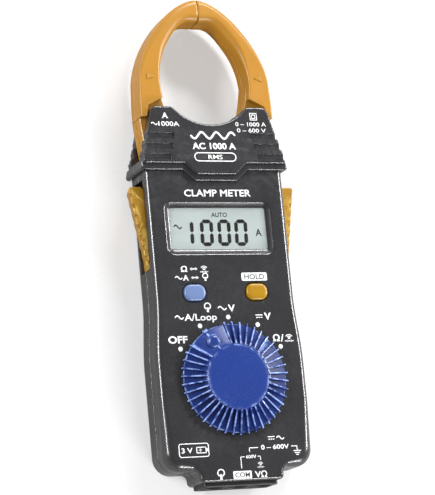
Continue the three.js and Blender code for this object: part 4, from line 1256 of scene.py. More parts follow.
@dataclass
class Casing:
    """The two casing halves, with the tongue over the sockets, and the battery cover."""

    depth: float = FACE_Z
    half: float = 26.9
    bulge: float = 1.5
    wall: float = 1.8
    seam: float = 8.0
    gap: float = 0.1  # each half stops this far from the seam
    shoulder: float = 5.8
    corner: float = 6.5
    tongue: Point = (16.0, 1.5)
    tongue_corner: float = 1.7
    fillet: float = 2.2  # where the tongue meets the shoulders
    end: float = 115.9
    back_edge: float = 2.2
    dial_y: float = DIAL_Y
    dial_hole: float = 5.8
    cell_y: float = 62.0
    hatch_half: Point = (13.0, 16.0)
    cover: float = 1.4
    cover_screw_y: float = 49.2
    screw_rows: Point = (15.3, 73.4)
    screw_setback: float = 3.9
    screw_boss: float = 2.6
    screw_pilot: float = 1.15
    lever_pin: Point = LEVER_PIN
    pin_boss: float = 2.4
    pin_hole: float = 1.25
    board_back: float = 9.2  # height of the circuit board's back

    def half_at(self, y: float) -> float:
        """Half width at a distance from the socket end."""
        return self.half + self.bulge * (1 - smoothstep(y, 44, 68.4))

    def outline(self) -> Outline:
        """The outline, tongue included, running on past the collar."""
        wide = self.half_at(0)
        (tx, ty), round_r = self.tongue, self.tongue_corner
        half = arc(tx - round_r, ty + round_r, round_r, -90, 0, 6)
        half += arc(tx + self.fillet, self.shoulder - self.fillet, self.fillet, 180, 90, 9)
        half += arc(wide - self.corner, self.shoulder + self.corner, self.corner, -90, 0, 16)
        half += [(self.half_at(y), y) for y in range(30, 72, 3)]
        return symmetric([*half, (self.half, 90.0), (self.half, 130.0)])

    def face_radius(self, x: float, y: float) -> float:
        """The rounding between the face and the sides: fuller round the lower shoulders."""
        shoulders = 2.3 + 1.9 * (1 - smoothstep(y, 9, 27))
        return 1.3 + (shoulders - 1.3) * smoothstep(abs(x), 15.5, 20)

    def screw_places(self) -> Outline:
        """Where the four casing screws stand."""
        return [
            (sign * (self.half_at(y) - self.screw_setback), y) for y in self.screw_rows for sign in (1, -1)
        ]

    def hollow(self) -> Solid:
        """The room inside, closed off behind the tongue."""
        outline = self.outline()
        room = loft(inset(outline, [self.wall] * len(outline)), [(self.wall, 0), (self.depth - self.wall, 0)])
        return room.cut(slab(FAR, (-5, self.shoulder + self.wall), (-5, 30)))

    def openings(self) -> list[Solid]:
        """What both halves leave free: the lever slots, the socket block's hole and the collar's end."""
        slots = [brick((19.4, FAR), (78.7, 111.9), (3.5, 12.5)).on(side) for side in Side]
        return [*slots, slab(14.35, (-5, 19), (2.05, 13.95)), slab(FAR, (self.end, FAR), (-5, 30))]

    def screen_opening(self) -> Solid:
        """The display's opening, with a dished bevel that rolls over into the face."""
        levels = [(12, 0), (14.7, 0), (14.84, -0.7), (15.74, -1.82)]
        levels += [(15.89, -2.06), (15.97, -2.28), (16.02, -2.55)]
        return loft(rounded_box(0, 93.2, (18.6, 7.7), 0.8), levels)

    def button_hole(self, x: float) -> Solid:
        """One button's hole, with a rolled edge."""
        levels = [(12, 0), (15.4, 0), (15.75, -0.12), (15.93, -0.35), (16.02, -0.65)]
        return loft(rounded_box(x, BUTTON_Y, (4.4, 3.3), 3.0), levels)

    def front(self) -> Solid:
        """The front casing."""
        inner = self.depth - self.wall
        outer = rounded(self.outline(), (self.seam + self.gap, self.depth), self.face_radius, 0.25, 9)
        pane = slab(20.15, (83.95, 102.45), (5, 14.7))
        px, py = self.lever_pin
        boss = (self.seam + self.gap, inner + 0.5)
        bosses = [rod(x, y, boss, self.screw_boss) for x, y in self.screw_places()]
        bosses += [rod(sign * px, py, (12.5, inner + 0.5), self.pin_boss) for sign in (1, -1)]
        holes = [rod(x, y, (0, inner - 1), self.screw_pilot) for x, y in self.screw_places()]
        holes += [rod(sign * px, py, (0, inner - 0.2), self.pin_hole) for sign in (1, -1)]
        holes += [rod(0, self.dial_y, (0, 30), self.dial_hole), pane, self.screen_opening()]
        holes += [self.button_hole(x) for x in (-BUTTON_X, BUTTON_X)]
        return outer.cut(self.hollow()).join(*bosses).cut(*self.openings(), *holes)

    def rear(self) -> Solid:
        """The rear casing, with the battery hatch, the screw holes and the board's posts."""
        top = self.seam - self.gap
        outer = rounded(self.outline(), (0, top), 0.25, self.back_edge, 7)
        px, py = self.lever_pin
        board_rest = (1.3, self.board_back - 0.1)
        posts = [rod(sign * 14, y, board_rest, 1.6) for y in (27, 91.3) for sign in (1, -1)]
        posts += [rod(x, y, (1.3, top), self.screw_boss) for x, y in self.screw_places()]
        posts += [rod(sign * px, py, (1.3, 3.5), self.pin_boss) for sign in (1, -1)]
        hatch = rounded_box(0, self.cell_y, (self.hatch_half[0] + 0.15, self.hatch_half[1] + 0.15), 2)
        holes = [loft(hatch, [(-1, 0), (self.wall + 1, 0)])]
        holes += [rod(x, y, (-1, 30), self.screw_pilot) for x, y in self.screw_places()]
        holes += [lathe([(2.9, -0.5), (2.4, 0.3), (2.4, 2.6)], x, y, 32) for x, y in self.screw_places()]
        holes += [rod(sign * px, py, (1, 30), self.pin_hole) for sign in (1, -1)]
        bar = slab(15, (self.cover_screw_y - 2.4, self.cover_screw_y + 2.4), (self.wall, 3))
        ledge = bar.join(rod(0, self.cover_screw_y, (self.wall, 6.8), 2.4))
        ledge = ledge.cut(rod(0, self.cover_screw_y, (0, 6.2), self.screw_pilot))
        return outer.cut(self.hollow()).join(*posts).cut(*self.openings(), *holes).join(ledge)

    def battery_cover(self) -> Solid:
        """The cover over the coin cell, with finger ridges and a hole for its screw."""
        outline = rounded_box(0, self.cell_y, self.hatch_half, 1.9)
        blank = rounded(outline, (0, self.cover), 0.0, 0.35, 4)
        profile = [(2.75, -0.4), (2.4, 0.15), (2.4, 0.65), (1.25, 1.15), (1.25, 2)]
        sink = lathe(profile, 0, self.cover_screw_y, 32)
        grips = [
            rounded(rounded_box(0, 70.5 + 1.6 * i, (5.5 - 0.5 * i, 0.4), 0.38, 4), (-1, 0.45), 0.3)
            for i in range(4)
        ]
        return blank.cut(sink, *grips)

    def build(self) -> None:
        """Builds and places the halves and the cover."""
        charcoal = Finish.CHARCOAL.material
        place(self.front(), "front_casing_moulding", "casing", charcoal, ["front_casing"])
        place(self.rear(), "rear_casing_moulding", "casing", charcoal, ["rear_casing"])
        place(self.battery_cover(), "battery_hatch", "casing", charcoal, ["battery_cover"])


# ---- Collar ----


@dataclass
class Collar:
    """The raised plates over the jaw pivots, with horns beside the window and finger grooves."""

    start: float = 114.4
    rise: float = 18.6
    slope: float = 0.07
    edge: float = 0.75  # rounding of the rim
    wall: float = 1.5
    notch_y: float = 150.6
    notch: float = 18.9
    pivot: Point = JAW_PIVOT
    room: Span = (3.3, 12.7)
    groove_depth: float = 0.5

    def outline(self) -> Outline:
        """The plates' outline, with softly rounded corners."""
        half = [(7.3, 112.6), (8.3, 113.2), (11.3, 116.2), (12.4, 116.9), (26.7, 116.9), (27.6, 117.3)]
        half += [(27.8, 118.2), (26.3, 124), (24.3, 131), (23.3, 135.2), (22.9, 136.6), (22.3, 137.7)]
        half += [(21.6, 138.3), (20.9, 138.6), (15.2, 138.6), (14.5, 138.3)]
        low = -math.degrees(math.acos(13.9 / self.notch))
        half += arc(0, self.notch_y, self.notch, low, -90, 22)[:-1]
        return symmetric([*half, (0, self.notch_y - self.notch)])

    def top_fall(self, y: float) -> float:
        """How much lower the top is at a distance from the socket end."""
        return self.slope * (y - self.start)

    def top_at(self, y: float) -> float:
        """The top's height at a distance from the socket end."""
        return self.rise - self.top_fall(y)

    def tilt(self, x: float, y: float, z: float) -> Place:
        """Lets the upper part of the plate fall away towards the horns."""
        return x, y, z - self.top_fall(y) * max(0.0, z - 13) / (self.rise - 13)

    def jaw_room(self) -> Solid:
        """The room for the jaws, open at the horns and at both sides."""
        wide = slab(FAR, (self.pivot[1] - 0.8, FAR), self.room)
        low = slab(25.4, (112.9, self.pivot[1]), self.room)
        ring = arc(0, self.notch_y, self.notch - 1, -138, -42, 24)
        ring += arc(0, self.notch_y, self.notch + self.wall, -45.5, -134.5, 24)
        return low.join(wide).cut(loft(ring, [(0, 0), (30, 0)]))

    def casing_room(self) -> Solid:
        """The casing's end inside the plates, with a clearance."""
        return slab(27.05, (0, 116.15), (-1, 16.15))

    def pin_holes(self) -> list[Solid]:
        """The holes that hold the pivot pins."""
        return [rod(sign * self.pivot[0], self.pivot[1], (1.3, 14.9), 2.05) for sign in (1, -1)]

    def grooves(self) -> list[Solid]:
        """Three finger grooves on each side, each starting further out, cut down both plates' flanks."""
        tools = []
        for i in range(3):
            top = 128.3 - 4 * i
            inner, flank = 14.8 + 0.95 * i, 24.9 + 1.1 * i
            floor = self.top_at(top) - self.groove_depth
            across = rounded_box(inner + 20, top - 1, (20, 1.15), 0.5, 5)
            down = rounded_box(flank + 20, top - 1, (20, 1.15), 0.5, 5)
            groove = rounded(across, (floor, 40), 0, 0.12, 3)
            tools += [part.on(side) for part in (groove, loft(down, [(-1, 0), (40, 0)])) for side in Side]
        return tools

    def lip(self) -> Solid:
        """The low flange that runs along the lower edge, over the casing's face."""
        half = [(7.7, 110.5), (8.5, 110.8), (12.3, 114.3), (13.1, 114.6), (26.6, 114.6), (27.7, 114.9)]
        half += [(28.3, 115.7), (28.2, 117.0), (27.0, 121.0)]
        return rounded(symmetric(half), (16.15, 17.35), 0.6, 0.1, 5)

    def cheeks(self, z: Span) -> list[Solid]:
        """The parts that reach down over the casing's sides, between two heights."""
        outline = [(26.0, 114.7), (28.0, 114.7), (28.5, 115.2), (28.5, 116.2), (27.4, 120.5), (26.0, 120.5)]
        return [rounded(outline, z, 0.35, 0.3, 4).on(side) for side in Side]

    def front(self) -> Solid:
        """The front plate."""
        outline, top = self.outline(), self.rise
        plate = rounded(outline, (8.1, top), self.edge, 0.25, 6).moved(self.tilt)
        plate = plate.join(self.lip(), *self.cheeks((8.1, 17.1)))
        return plate.cut(self.jaw_room(), self.casing_room(), *self.pin_holes(), *self.grooves())

    def rear(self) -> Solid:
        """The rear plate, with the tongue that slides into the casing and the springs' post."""
        blank = rounded(self.outline(), (0, 7.9), 0.2, 1.1, 5).join(*self.cheeks((0, 7.9)))
        blank = blank.cut(self.jaw_room(), self.casing_room())
        tongue = slab(24.6, (102.3, 117.0), (1.9, self.room[0]))
        post = slab(1.8, (103.3, 116.0), (2.8, 8.0))
        return blank.join(tongue, post).cut(*self.pin_holes(), *self.grooves())

    def build(self) -> None:
        """Builds and places both plates."""
        charcoal = Finish.CHARCOAL.material
        place(self.front(), "front_collar", "casing", charcoal, ["front_barrier"])
        place(self.rear(), "rear_collar", "casing", charcoal, ["rear_barrier"])


# ---- Jaws ----


@dataclass
class Jaws:
    """The two jaws: an arch of front and rear shells round a core, on thin arms under the collar."""

    window_y: float = 148.0
    outer: tuple[float, float, float] = (25.5, 32.97, 1.65)  # half width, rise and superellipse power
    inner: tuple[float, float, float] = (17.5, 24.2, 1.88)
    tip_lift: float = 1.2  # how much squarer the window is on both sides of its top
    low: Point = (25.9, 16.2)  # half widths below the window's widest place
    z: Span = (3.5, 15.0)
    seam: float = 8.1
    gap: float = 0.1
    wall: float = 1.2
    split: float = 0.1
    core_margin: float = 2.35
    pivot: Point = JAW_PIVOT
    arm_z: Span = (4.0, 12.2)
    steps: int = 52

    def curve(self, shape: tuple[float, float, float], angle: float) -> Point:
        """A point of one of the arch's two curves, at an angle from the side to the top.

        Args:
            shape: Half width, rise and power.
            angle: 0 at the side, a quarter turn at the top.

        Returns:
            The point.
        """
        half, rise, power = shape
        share = 2 / power
        x = half * max(0.0, math.cos(angle)) ** share
        lift = self.tip_lift * math.sin(math.pi * min(1.0, x / 13)) ** 2 if shape is self.inner else 0.0
        return x, self.window_y + rise * math.sin(angle) ** share + lift

    def stations(self, low_end: float, tip: float) -> list[tuple[Point, Point]]:
        """Pairs of outer and inner points along the jaw, from its foot to its tip.

        Args:
            low_end: Where it starts.
            tip: How far from the middle it ends.

        Returns:
            The pairs in order.
        """
        pairs = []
        rows = [low_end + (self.window_y - low_end) * i / 9 for i in range(9)]
        for y in rows:
            out = self.low[0] + (self.outer[0] - self.low[0]) * smoothstep(y, 139, 149)
            ins = self.low[1] + (self.inner[0] - self.low[1]) * smoothstep(y, 134, 150)
            pairs.append(((out, y), (ins, y)))
        for i in range(self.steps):
            angle = math.pi / 2 * i / self.steps
            pairs.append((self.curve(self.outer, angle), self.curve(self.inner, angle)))
        pairs = [pair for pair in pairs if min(pair[0][0], pair[1][0]) > tip + 0.5]
        top, under = self.window_y + self.outer[1], self.window_y + self.inner[1]
        return [*pairs, ((tip + 0.4, top - 0.01), (tip + 0.4, under)), ((tip, top - 0.01), (tip, under))]

    def corner(self, y: float) -> float:
        """The rounding of the front edges, which grows towards the tip."""
        return 0.8 + 2.0 * smoothstep(y, 149, 172)

    def section(self, pair: tuple[Point, Point], margin: float, z: Span, radii: Span) -> list[Place]:
        """One closed section of the jaw.

        Args:
            pair: The outer and the inner point.
            margin: How far it stays inside the jaw's surface.
            z: Its lower and upper height.
            radii: Its rounding below and above.

        Returns:
            The section's points.
        """
        (ox, oy), (ix, iy) = pair
        length = math.hypot(ix - ox, iy - oy)
        ex, ey = (ix - ox) / length, (iy - oy) / length
        width = length - 2 * margin
        points = []
        corners = (
            (0, z[0], radii[0], 180),
            (width, z[0], radii[0], 270),
            (width, z[1], radii[1], 0),
            (0, z[1], radii[1], 90),
        )
        for across, height, radius, start in corners:
            cx = across + (radius if across == 0 else -radius)
            cz = height + (radius if height == z[0] else -radius)
            turn = arc(cx, cz, radius, start, start + 90, 8)
            points += [(ox + ex * (margin + a), oy + ey * (margin + a), b) for a, b in turn]
        return points

    def bar(self, margin: float, z: Span, low_end: float, tip: float) -> Solid:
        """A bar that follows the jaw at a margin inside its surface."""
        return skin([self.section(pair, margin, z, (0.15, 0.15)) for pair in self.stations(low_end, tip)])

    def arch(self, front: bool) -> Solid:
        """The thick part of one shell, solid, with its tip edge drawn in a little.

        Args:
            front: Whether it is the front shell.

        Returns:
            The solid.
        """
        pairs = self.stations(128.0, self.split)
        rings = []
        for i, pair in enumerate(pairs):
            drawn_in = 0.28 if i == len(pairs) - 1 else 0.0
            if front:
                z = (self.seam + self.gap + drawn_in * 0.3, self.z[1] - drawn_in)
                radii = (0.22, self.corner(pair[0][1]))
            else:
                z = (self.z[0] + drawn_in, self.seam - self.gap - drawn_in * 0.3)
                radii = (1.5, 0.22)
            rings.append(self.section(pair, drawn_in, z, radii))
        return skin(rings)

    def arm_outline(self) -> Outline:
        """The thin arm with the pivot's boss and the tail that the lever pushes."""
        x, y = self.pivot
        tail, end = 23.4, 103.3
        route = [(0.5, 124.6), *arc(x, y, 4.8, 165, 330, 20), (tail - 6, 113.5), (tail - 5.6, end + 0.3)]
        route += [(tail - 5.3, end), (tail - 0.8, end), (tail, end + 0.9), (tail, 117), (24.2, 121)]
        route += [(24.9, 126), (25.7, 134), (25.3, 149), (17.7, 149), (16.4, 142), (15.2, 137.5)]
        return route + arc(0, self.window_y, 20.3, -48, -89, 14)

    def shell(self, front: bool) -> Solid:
        """One shell of the right-hand jaw.

        Args:
            front: Whether it is the front shell.

        Returns:
            The shell.
        """
        z = (self.seam + self.gap, self.arm_z[1]) if front else (self.arm_z[0], self.seam - self.gap)
        step = [(0, -FAR), (FAR, -FAR), (FAR, 135.2), (23.8, 135.2), (22.9, 139.4), (16.9, 142.4), (0, 142.4)]
        arch = self.arch(front).cut(loft(step, [(-1, 0), (FAR, 0)]))
        if front:
            arm = loft(self.arm_outline(), [(z[0], 0), (z[1] - 0.3, 0), (z[1], 0.3)])
            arm = arm.cut(brick((-5, FAR), (0, 114.5), (11, FAR)))
            arrow = [(22.6, 149.1), (22.6, 151.5), (19.6, 150.3)]
            arch = arch.join(loft(arrow, [(14.5, 0), (15.2, 0), (15.3, 0.15)]))
        else:
            arm = loft(self.arm_outline(), [(z[0], 0.3), (z[0] + 0.3, 0), (z[1], 0)])
        solid = arch.join(arm)
        inside = (self.z[0] + self.wall, self.z[1] - self.wall)
        room = self.bar(self.wall, inside, 146.2, self.split + self.wall)
        core = self.bar(self.core_margin, (5.85, 12.65), 146.5, -3)
        return solid.cut(room, core, rod(*self.pivot, (0, 30), 2.1))

    def build(self) -> None:
        """Builds and places all four shells."""
        yellow = Finish.YELLOW.material
        for front, word, node in ((True, "cover", "front"), (False, "back", "rear")):
            shell = self.shell(front)
            for side in Side:
                name, body = f"jaw_{word}_{side.word}", f"jaw_{side.word}"
                replaced = f"jaw_{node}_shell_{side.word}"
                place(shell.on(side), name, body, yellow, [replaced])


# ---- Levers ----


@dataclass
class Levers:
    """The two side levers, each with a row of small finger scallops."""

    foot: float = 79.5
    length: float = 30.0
    edge: Span = (27.6, 32.6)
    z: Span = (3.8, 12.2)
    pin: Point = LEVER_PIN
    notches: int = 7
    taper: float = 2.2  # how far the outer face draws in towards the back

    def edge_x(self, y: float) -> float:
        """The outer edge's place at a distance from the socket end."""
        return self.edge[0] + (self.edge[1] - self.edge[0]) * (y - self.foot) / self.length

    def notch_rows(self) -> list[float]:
        """Where the scallops are."""
        pitch = (self.length - 3) / self.notches
        return [self.foot + 3.6 + pitch * i for i in range(self.notches)]

    def outline(self) -> Outline:
        """The lever's outline: a gently bumped outer edge, the nose and the pin's end."""
        pitch = (self.length - 3) / self.notches
        bumps = []
        for i in range(self.notches * 8 + 1):
            y = self.foot + 1.7 + pitch * i / 8
            turn = 2 * math.pi * (y - self.notch_rows()[0]) / pitch
            bumps.append((self.edge_x(y) - 0.09 * (1 + math.cos(turn)), y))
        top, px, py = self.foot + self.length, *self.pin
        route = [(px, py - 2.4), (self.edge[0] - 1.4, self.foot), (self.edge[0] - 0.6, self.foot + 0.5)]
        route += [*bumps, *arc(self.edge[1] - 1.4, top - 1.1, 1.1, 10, 90, 6), (27.6, top), (27.0, top - 0.2)]
        route += [(25.0, 107.1), *arc(25.1, 105.5, 1.3, 115, 250, 8), (24.8, 102.5), (24.4, py + 5)]
        return [*route, (px - 2, py + 1.2), (px - 2.2, py - 0.8)]

    def lever(self) -> Solid:
        """The right-hand lever."""
        back = self.taper / (self.z[1] - self.z[0])
        blank = rounded(self.outline(), self.z, 0.7, 0.6, 5).moved(
            lambda x, y, z: (x - back * (self.z[1] - z) * smoothstep(x, 25.2, 28.5), y, z)
        )
        scoops = []
        for y in self.notch_rows():
            pocket = rounded_box(self.edge_x(y) + 0.55, y, (1.95, 0.95), 0.6, 5)
            scoops.append(rounded(pocket, (self.z[1] - 0.6, 20), 0, 0.35, 4))
        return blank.cut(*scoops, rod(*self.pin, (0, 30), 1.3))

    def build(self) -> None:
        """Builds and places both levers."""
        lever = self.lever()
        for side in Side:
            name = f"lever_{side.word}"
            place(lever.on(side), f"side_{name}", name, Finish.LEVER_YELLOW.material, [name])


# ---- Dial ----


@dataclass
class Dial:
    """The function dial: a ribbed skirt round a flat disc, with a ball pointer and a rim tab."""

    y: float = DIAL_Y
    radius: float = 19.6
    disc: float = 11.3
    foot: float = 16.3
    top: float = 20.6
    skirt: float = 17.4
    shaft: float = 5.5
    rotor_front: float = 13.9
    ribs: int = 38
    rib: float = 0.5
    pointer: float = 120.0
    bare: float = 46.0

    def body(self) -> Solid:
        """The knob without its ribs: shaft, skirt and slightly domed disc."""
        inner = self.rotor_front
        profile = [(2.4, inner - 1.4), (2.4, inner + 0.1), (self.shaft, inner + 0.1), (self.shaft, self.foot)]
        profile += [(self.radius - 0.3, self.foot), (self.radius, self.foot + 0.25)]
        profile += [(self.radius, self.skirt - 0.35)]
        profile += [(self.radius - 0.12, self.skirt - 0.1), (self.radius - 0.5, self.skirt - 0.05)]
        profile += [(self.disc + 2.0, self.top - 2.1), (self.disc + 1.2, self.top - 1.75)]
        profile += [(self.disc + 0.75, self.top - 1.0), (self.disc + 0.55, self.top - 0.4)]
        profile += [(self.disc + 0.3, self.top - 0.16), (self.disc - 0.2, self.top - 0.05)]
        profile += [(self.disc - 2.5, self.top - 0.02), (4, self.top), (0.5, self.top)]
        return lathe(profile, 0, 0, 120)

    def bare_stretch(self) -> Solid:
        """The smooth stretch of skirt round the pointer, level with the ribs' tops."""
        section = [(self.disc - 1.6, self.top - 2.5), (self.radius - 0.4, self.foot + 0.3)]
        section += [(self.radius - 0.02, self.skirt - 0.35), (self.radius - 0.2, self.skirt - 0.05)]
        section += [(self.radius - 0.7, self.skirt + 0.12), (self.disc + 1.4, self.top - 0.62)]
        section += [(self.disc + 0.5, self.top - 0.26), (self.disc - 0.4, self.top - 0.22)]
        section += [(self.disc - 1.6, self.top - 0.5)]
        rings = []
        for i in range(25):
            a = math.radians((self.bare - 3) * (i / 24 - 0.5))
            rings.append([(r * math.cos(a), r * math.sin(a), z) for r, z in section])
        return skin(rings)

    def rib_blade(self) -> Solid:
        """One rib, standing on the skirt along X."""
        side = [(self.disc - 0.6, self.foot + 0.3), (self.radius + 0.75, self.foot + 0.3)]
        side += arc(self.radius + 0.35, self.skirt + 0.1, 0.5, 0, 78, 5)
        side += [(self.disc + 1.5, self.top - 0.14), (self.disc + 0.7, self.top - 0.1)]
        side += [(self.disc - 0.1, self.top - 0.25), (self.disc - 0.6, self.top - 0.8)]
        half = self.rib / 2
        blade = rounded(side, (-half, half), 0.24, 0.24, 3)
        return blade.moved(lambda x, y, z: (x, z, y))

    def knob(self) -> Solid:
        """The whole knob, about its own axis."""
        pitch = (360 - self.bare) / (self.ribs - 1)
        first = self.pointer + self.bare / 2
        blades = gather(self.rib_blade().at(turn=first + i * pitch) for i in range(self.ribs))
        across = [math.radians(a) for a in range(-85, 86, 10)]
        ball = lathe([(2.7 * math.cos(a), 1.85 * math.sin(a)) for a in across], 15.0, 0, 40)
        ball = ball.at(z=self.skirt + 1.55)
        tab = rounded(rounded_box(19.75, 0, (0.6, 0.75), 0.25, 3), (self.foot + 0.2, self.skirt + 0.65), 0.25)
        pointer = [part.at(turn=self.pointer) for part in (self.bare_stretch(), ball, tab)]
        return self.body().join(blades, *pointer)

    def build(self) -> None:
        """Builds and places the knob."""
        knob = self.knob().at(0, self.y)
        place(knob, "dial_cap", "dial", Finish.BLUE.material, ["dial_knob"], 30)


# ---- Buttons and display ----


@dataclass
class Buttons:
    """The two push buttons, with domed caps."""

    x: float = BUTTON_X
    y: float = BUTTON_Y
    half: Point = (4.1, 3.0)
    top: float = 17.0
    flange: Span = (13.3, 14.1)
    stem: float = 11.95

    def button(self, x: float) -> Solid:
        """One button with its flange and stem.

        Args:
            x: Its axis.

        Returns:
            The button.
        """
        rise = [(self.flange[0], 0), (self.top - 0.95, 0), (self.top - 0.6, 0.08), (self.top - 0.32, 0.28)]
        rise += [(self.top - 0.14, 0.6), (self.top - 0.05, 1.1), (self.top, 2.0)]
        cap = loft(rounded_box(x, self.y, self.half, 2.7, 10), rise)
        wide = (self.half[0] + 1, self.half[1] + 1)
        flange = loft(rounded_box(x, self.y, wide, 2.4), [(z, 0) for z in self.flange])
        return cap.join(flange, rod(x, self.y, (self.stem, self.flange[1]), 1.5))

    def build(self) -> None:
        """Builds and places both buttons."""
        buttons = (
            (-1, "select", Finish.PALE_BLUE, "button_blue"),
            (1, "hold", Finish.AMBER, "button_amber"),
        )
        for sign, word, finish, slot in buttons:
            name = f"{word}_button"
            place(self.button(sign * self.x), f"{word}_key", name, finish.material, [name])


@dataclass
class Display:
    """The clear pane and the display glass behind it, with its digits and signs."""

    digit_height: float = 9.9
    digit_y: float = 91.85
    slant: float = 0.03
    stroke: float = 1.42
    digits: tuple[tuple[str, float], ...] = (("1", -10.1), ("0", -4.35), ("0", 2.45), ("0", 9.05))

    def pane(self) -> Solid:
        """The clear pane."""
        box = Box.of("display_window")
        return rounded(rounded_box(*box.centre, box.half, 0.6, 4), box.z, 0.12, 0.12, 3)

    def glass(self) -> Solid:
        """The display's own glass."""
        box = Box.of("lcd_panel")
        return rounded(rounded_box(*box.centre, box.half, 0.3, 3), box.z, 0.1, 0.1, 3)

    def segment(self, x: float, y: float, length: float, upright: bool) -> Outline:
        """One bar of a seven-segment digit, with mitred ends.

        Args:
            x: Centre.
            y: Centre.
            length: Its length.
            upright: Whether it stands.

        Returns:
            Its outline, slanted.
        """
        a, b = length / 2, self.stroke / 2
        bar = [(-a, 0), (-a + b, -b), (a - b, -b), (a, 0), (a - b, b), (-a + b, b)]
        if upright:
            bar = [(-q, p) for p, q in bar]
        return [(x + p + self.slant * (y + q - self.digit_y), y + q) for p, q in bar]

    def digit(self, marks: Marks, kind: str, x: float) -> None:
        """Draws a 0 or a 1 on the display.

        Args:
            marks: Where it is drawn.
            kind: The digit.
            x: Its centre.
        """
        tall = self.digit_height / 2 - self.stroke / 2
        wide = 2.55 - self.stroke / 2
        parts = [(wide, tall / 2, tall, True), (wide, -tall / 2, tall, True)]
        if kind == "0":
            parts += [(-wide, tall / 2, tall, True), (-wide, -tall / 2, tall, True)]
            parts += [(0, tall, 2 * wide, False), (0, -tall, 2 * wide, False)]
        shift = -wide if kind == "1" else 0
        for px, py, length, upright in parts:
            marks.shape(self.segment(x + px + shift, self.digit_y + py, length - 0.12, upright))

    def build(self) -> None:
        """Builds and places the pane, the glass and what it shows."""
        place(self.pane(), "display_pane", "casing", Finish.CLEAR.material, ["display_window"])
        place(self.glass(), "display_glass", "casing", Finish.DISPLAY.material, ["lcd_panel"])
        shown = Marks()
        for kind, x in self.digits:
            self.digit(shown, kind, x)
        shown.text("AUTO", 1.0, 98.55, 1.75, 6.2, 0.02)
        shown.tilde(-15.4, 94.1, 3.0, 1.3, 0.5)
        shown.text("A", 15.9, 91.9, 2.7, 2.5, 0.02)
        front = Box.of("lcd_panel").z[1]
        shown.place("display_segments", "casing", Finish.SEGMENT, "lcd_glass", lambda _: front + 0.02)


# ---- Sockets and screws ----


@dataclass
class Sockets:
    """The block with three test lead sockets and their contact tubes."""

    half: Point = (14.2, 5.8)
    length: float = 17.0
    z: float = 8.0
    pitch: float = 9.2
    bore: float = 4.1
    depth: float = 13.0
    contact: Point = (2.6, 2.0)
    contact_start: float = 7.0
    contacts: tuple[str, ...] = ("sensor_contact", "com_contact", "volt_contact")

    def block(self) -> Solid:
        """The moulded block, with chamfered mouths."""
        blank = rounded(rounded_box(0, 0, self.half, 1.2, 6), (0, self.length), 0.1, 0.5, 5)
        holes = []
        for i in (-1, 0, 1):
            mouth = [(self.bore + 0.75, -0.5), (self.bore + 0.7, 0)]
            mouth += [(self.bore + 0.2, 0.35), (self.bore, 0.75)]
            holes.append(lathe([*mouth, (self.bore, self.depth)], i * self.pitch, 0, 56))
            holes.append(rod(i * self.pitch, 0, (self.depth - 1, 30), self.contact[0] + 0.05))
        return along_y(blank.cut(*holes), self.z)

    def tube(self, x: float) -> Solid:
        """One contact tube.

        Args:
            x: Its axis.

        Returns:
            The tube.
        """
        outside = rod(x, 0, (self.contact_start, self.length + 1.5), self.contact[0], 0.15, 40)
        bore = self.contact[1]
        inside = lathe([(bore + 0.3, 6), (bore + 0.25, 7), (bore, 7.4), (bore, 14)], x, 0, 40)
        return along_y(outside.cut(inside), self.z)

    def build(self) -> None:
        """Builds and places the block and the tubes."""
        black = Finish.BLACK.material
        place(self.block(), "socket_block", "casing", black, ["terminal_block"])
        for i, name in enumerate(self.contacts):
            tube = self.tube((i - 1) * self.pitch)
            place(tube, f"{name}_tube", "casing", Finish.BRASS.material, [name])


@dataclass
class Fasteners:
    """The casing's four screws and the battery cover's screw, all driven from the back."""

    head: float = 2.2
    core: float = 1.1

    def screw(self, x: float, y: float, z: Span, flat: float) -> Solid:
        """A countersunk screw with a cross recess and a thread.

        Args:
            x: Its axis.
            y: Its axis.
            z: Its head's face and its tip.
            flat: Height of the head's rim.

        Returns:
            The screw.
        """
        low, tip = z
        profile = [(self.head - 0.35, low), (self.head, low + 0.15)]
        profile += [(self.head, low + flat), (self.core, low + flat + 0.5)]
        height = low + flat + 0.8
        while height < tip - 1.2:
            profile += [(self.core - 0.22, height), (self.core, height + 0.2)]
            profile += [(self.core - 0.22, height + 0.4)]
            height += 0.5
        profile += [(self.core - 0.25, tip - 0.8), (0.3, tip)]
        recess = []
        for w, v in ((1.3, 0.27), (0.27, 1.3)):
            corners = ((w, v), (-w, v), (-w, -v), (w, -v))
            depths = ((low - 0.1, 1.0), (low + 0.75, 0.55))
            recess.append(skin([[(px * s, py * s, h) for px, py in corners] for h, s in depths]))
        return lathe(profile, 0, 0, 32).cut(*recess).at(x, y)

    def build(self, casing: Casing) -> None:
        """Builds and places the screws.

        Args:
            casing: The casing that they hold together.
        """
        steel = Finish.STEEL.material
        names = ("lower_right", "lower_left", "upper_right", "upper_left")
        for (x, y), name in zip(casing.screw_places(), names, strict=True):
            node = f"case_screw_{name}"
            place(self.screw(x, y, (0.9, 12.7), 1.0), f"{node}_turned", "casing", steel, [node])
        cover = self.screw(0, casing.cover_screw_y, (0.1, 5.8), 0.4)
        place(cover, "hatch_screw", "casing", steel, ["battery_cover_screw"])


# ---- Inside ----


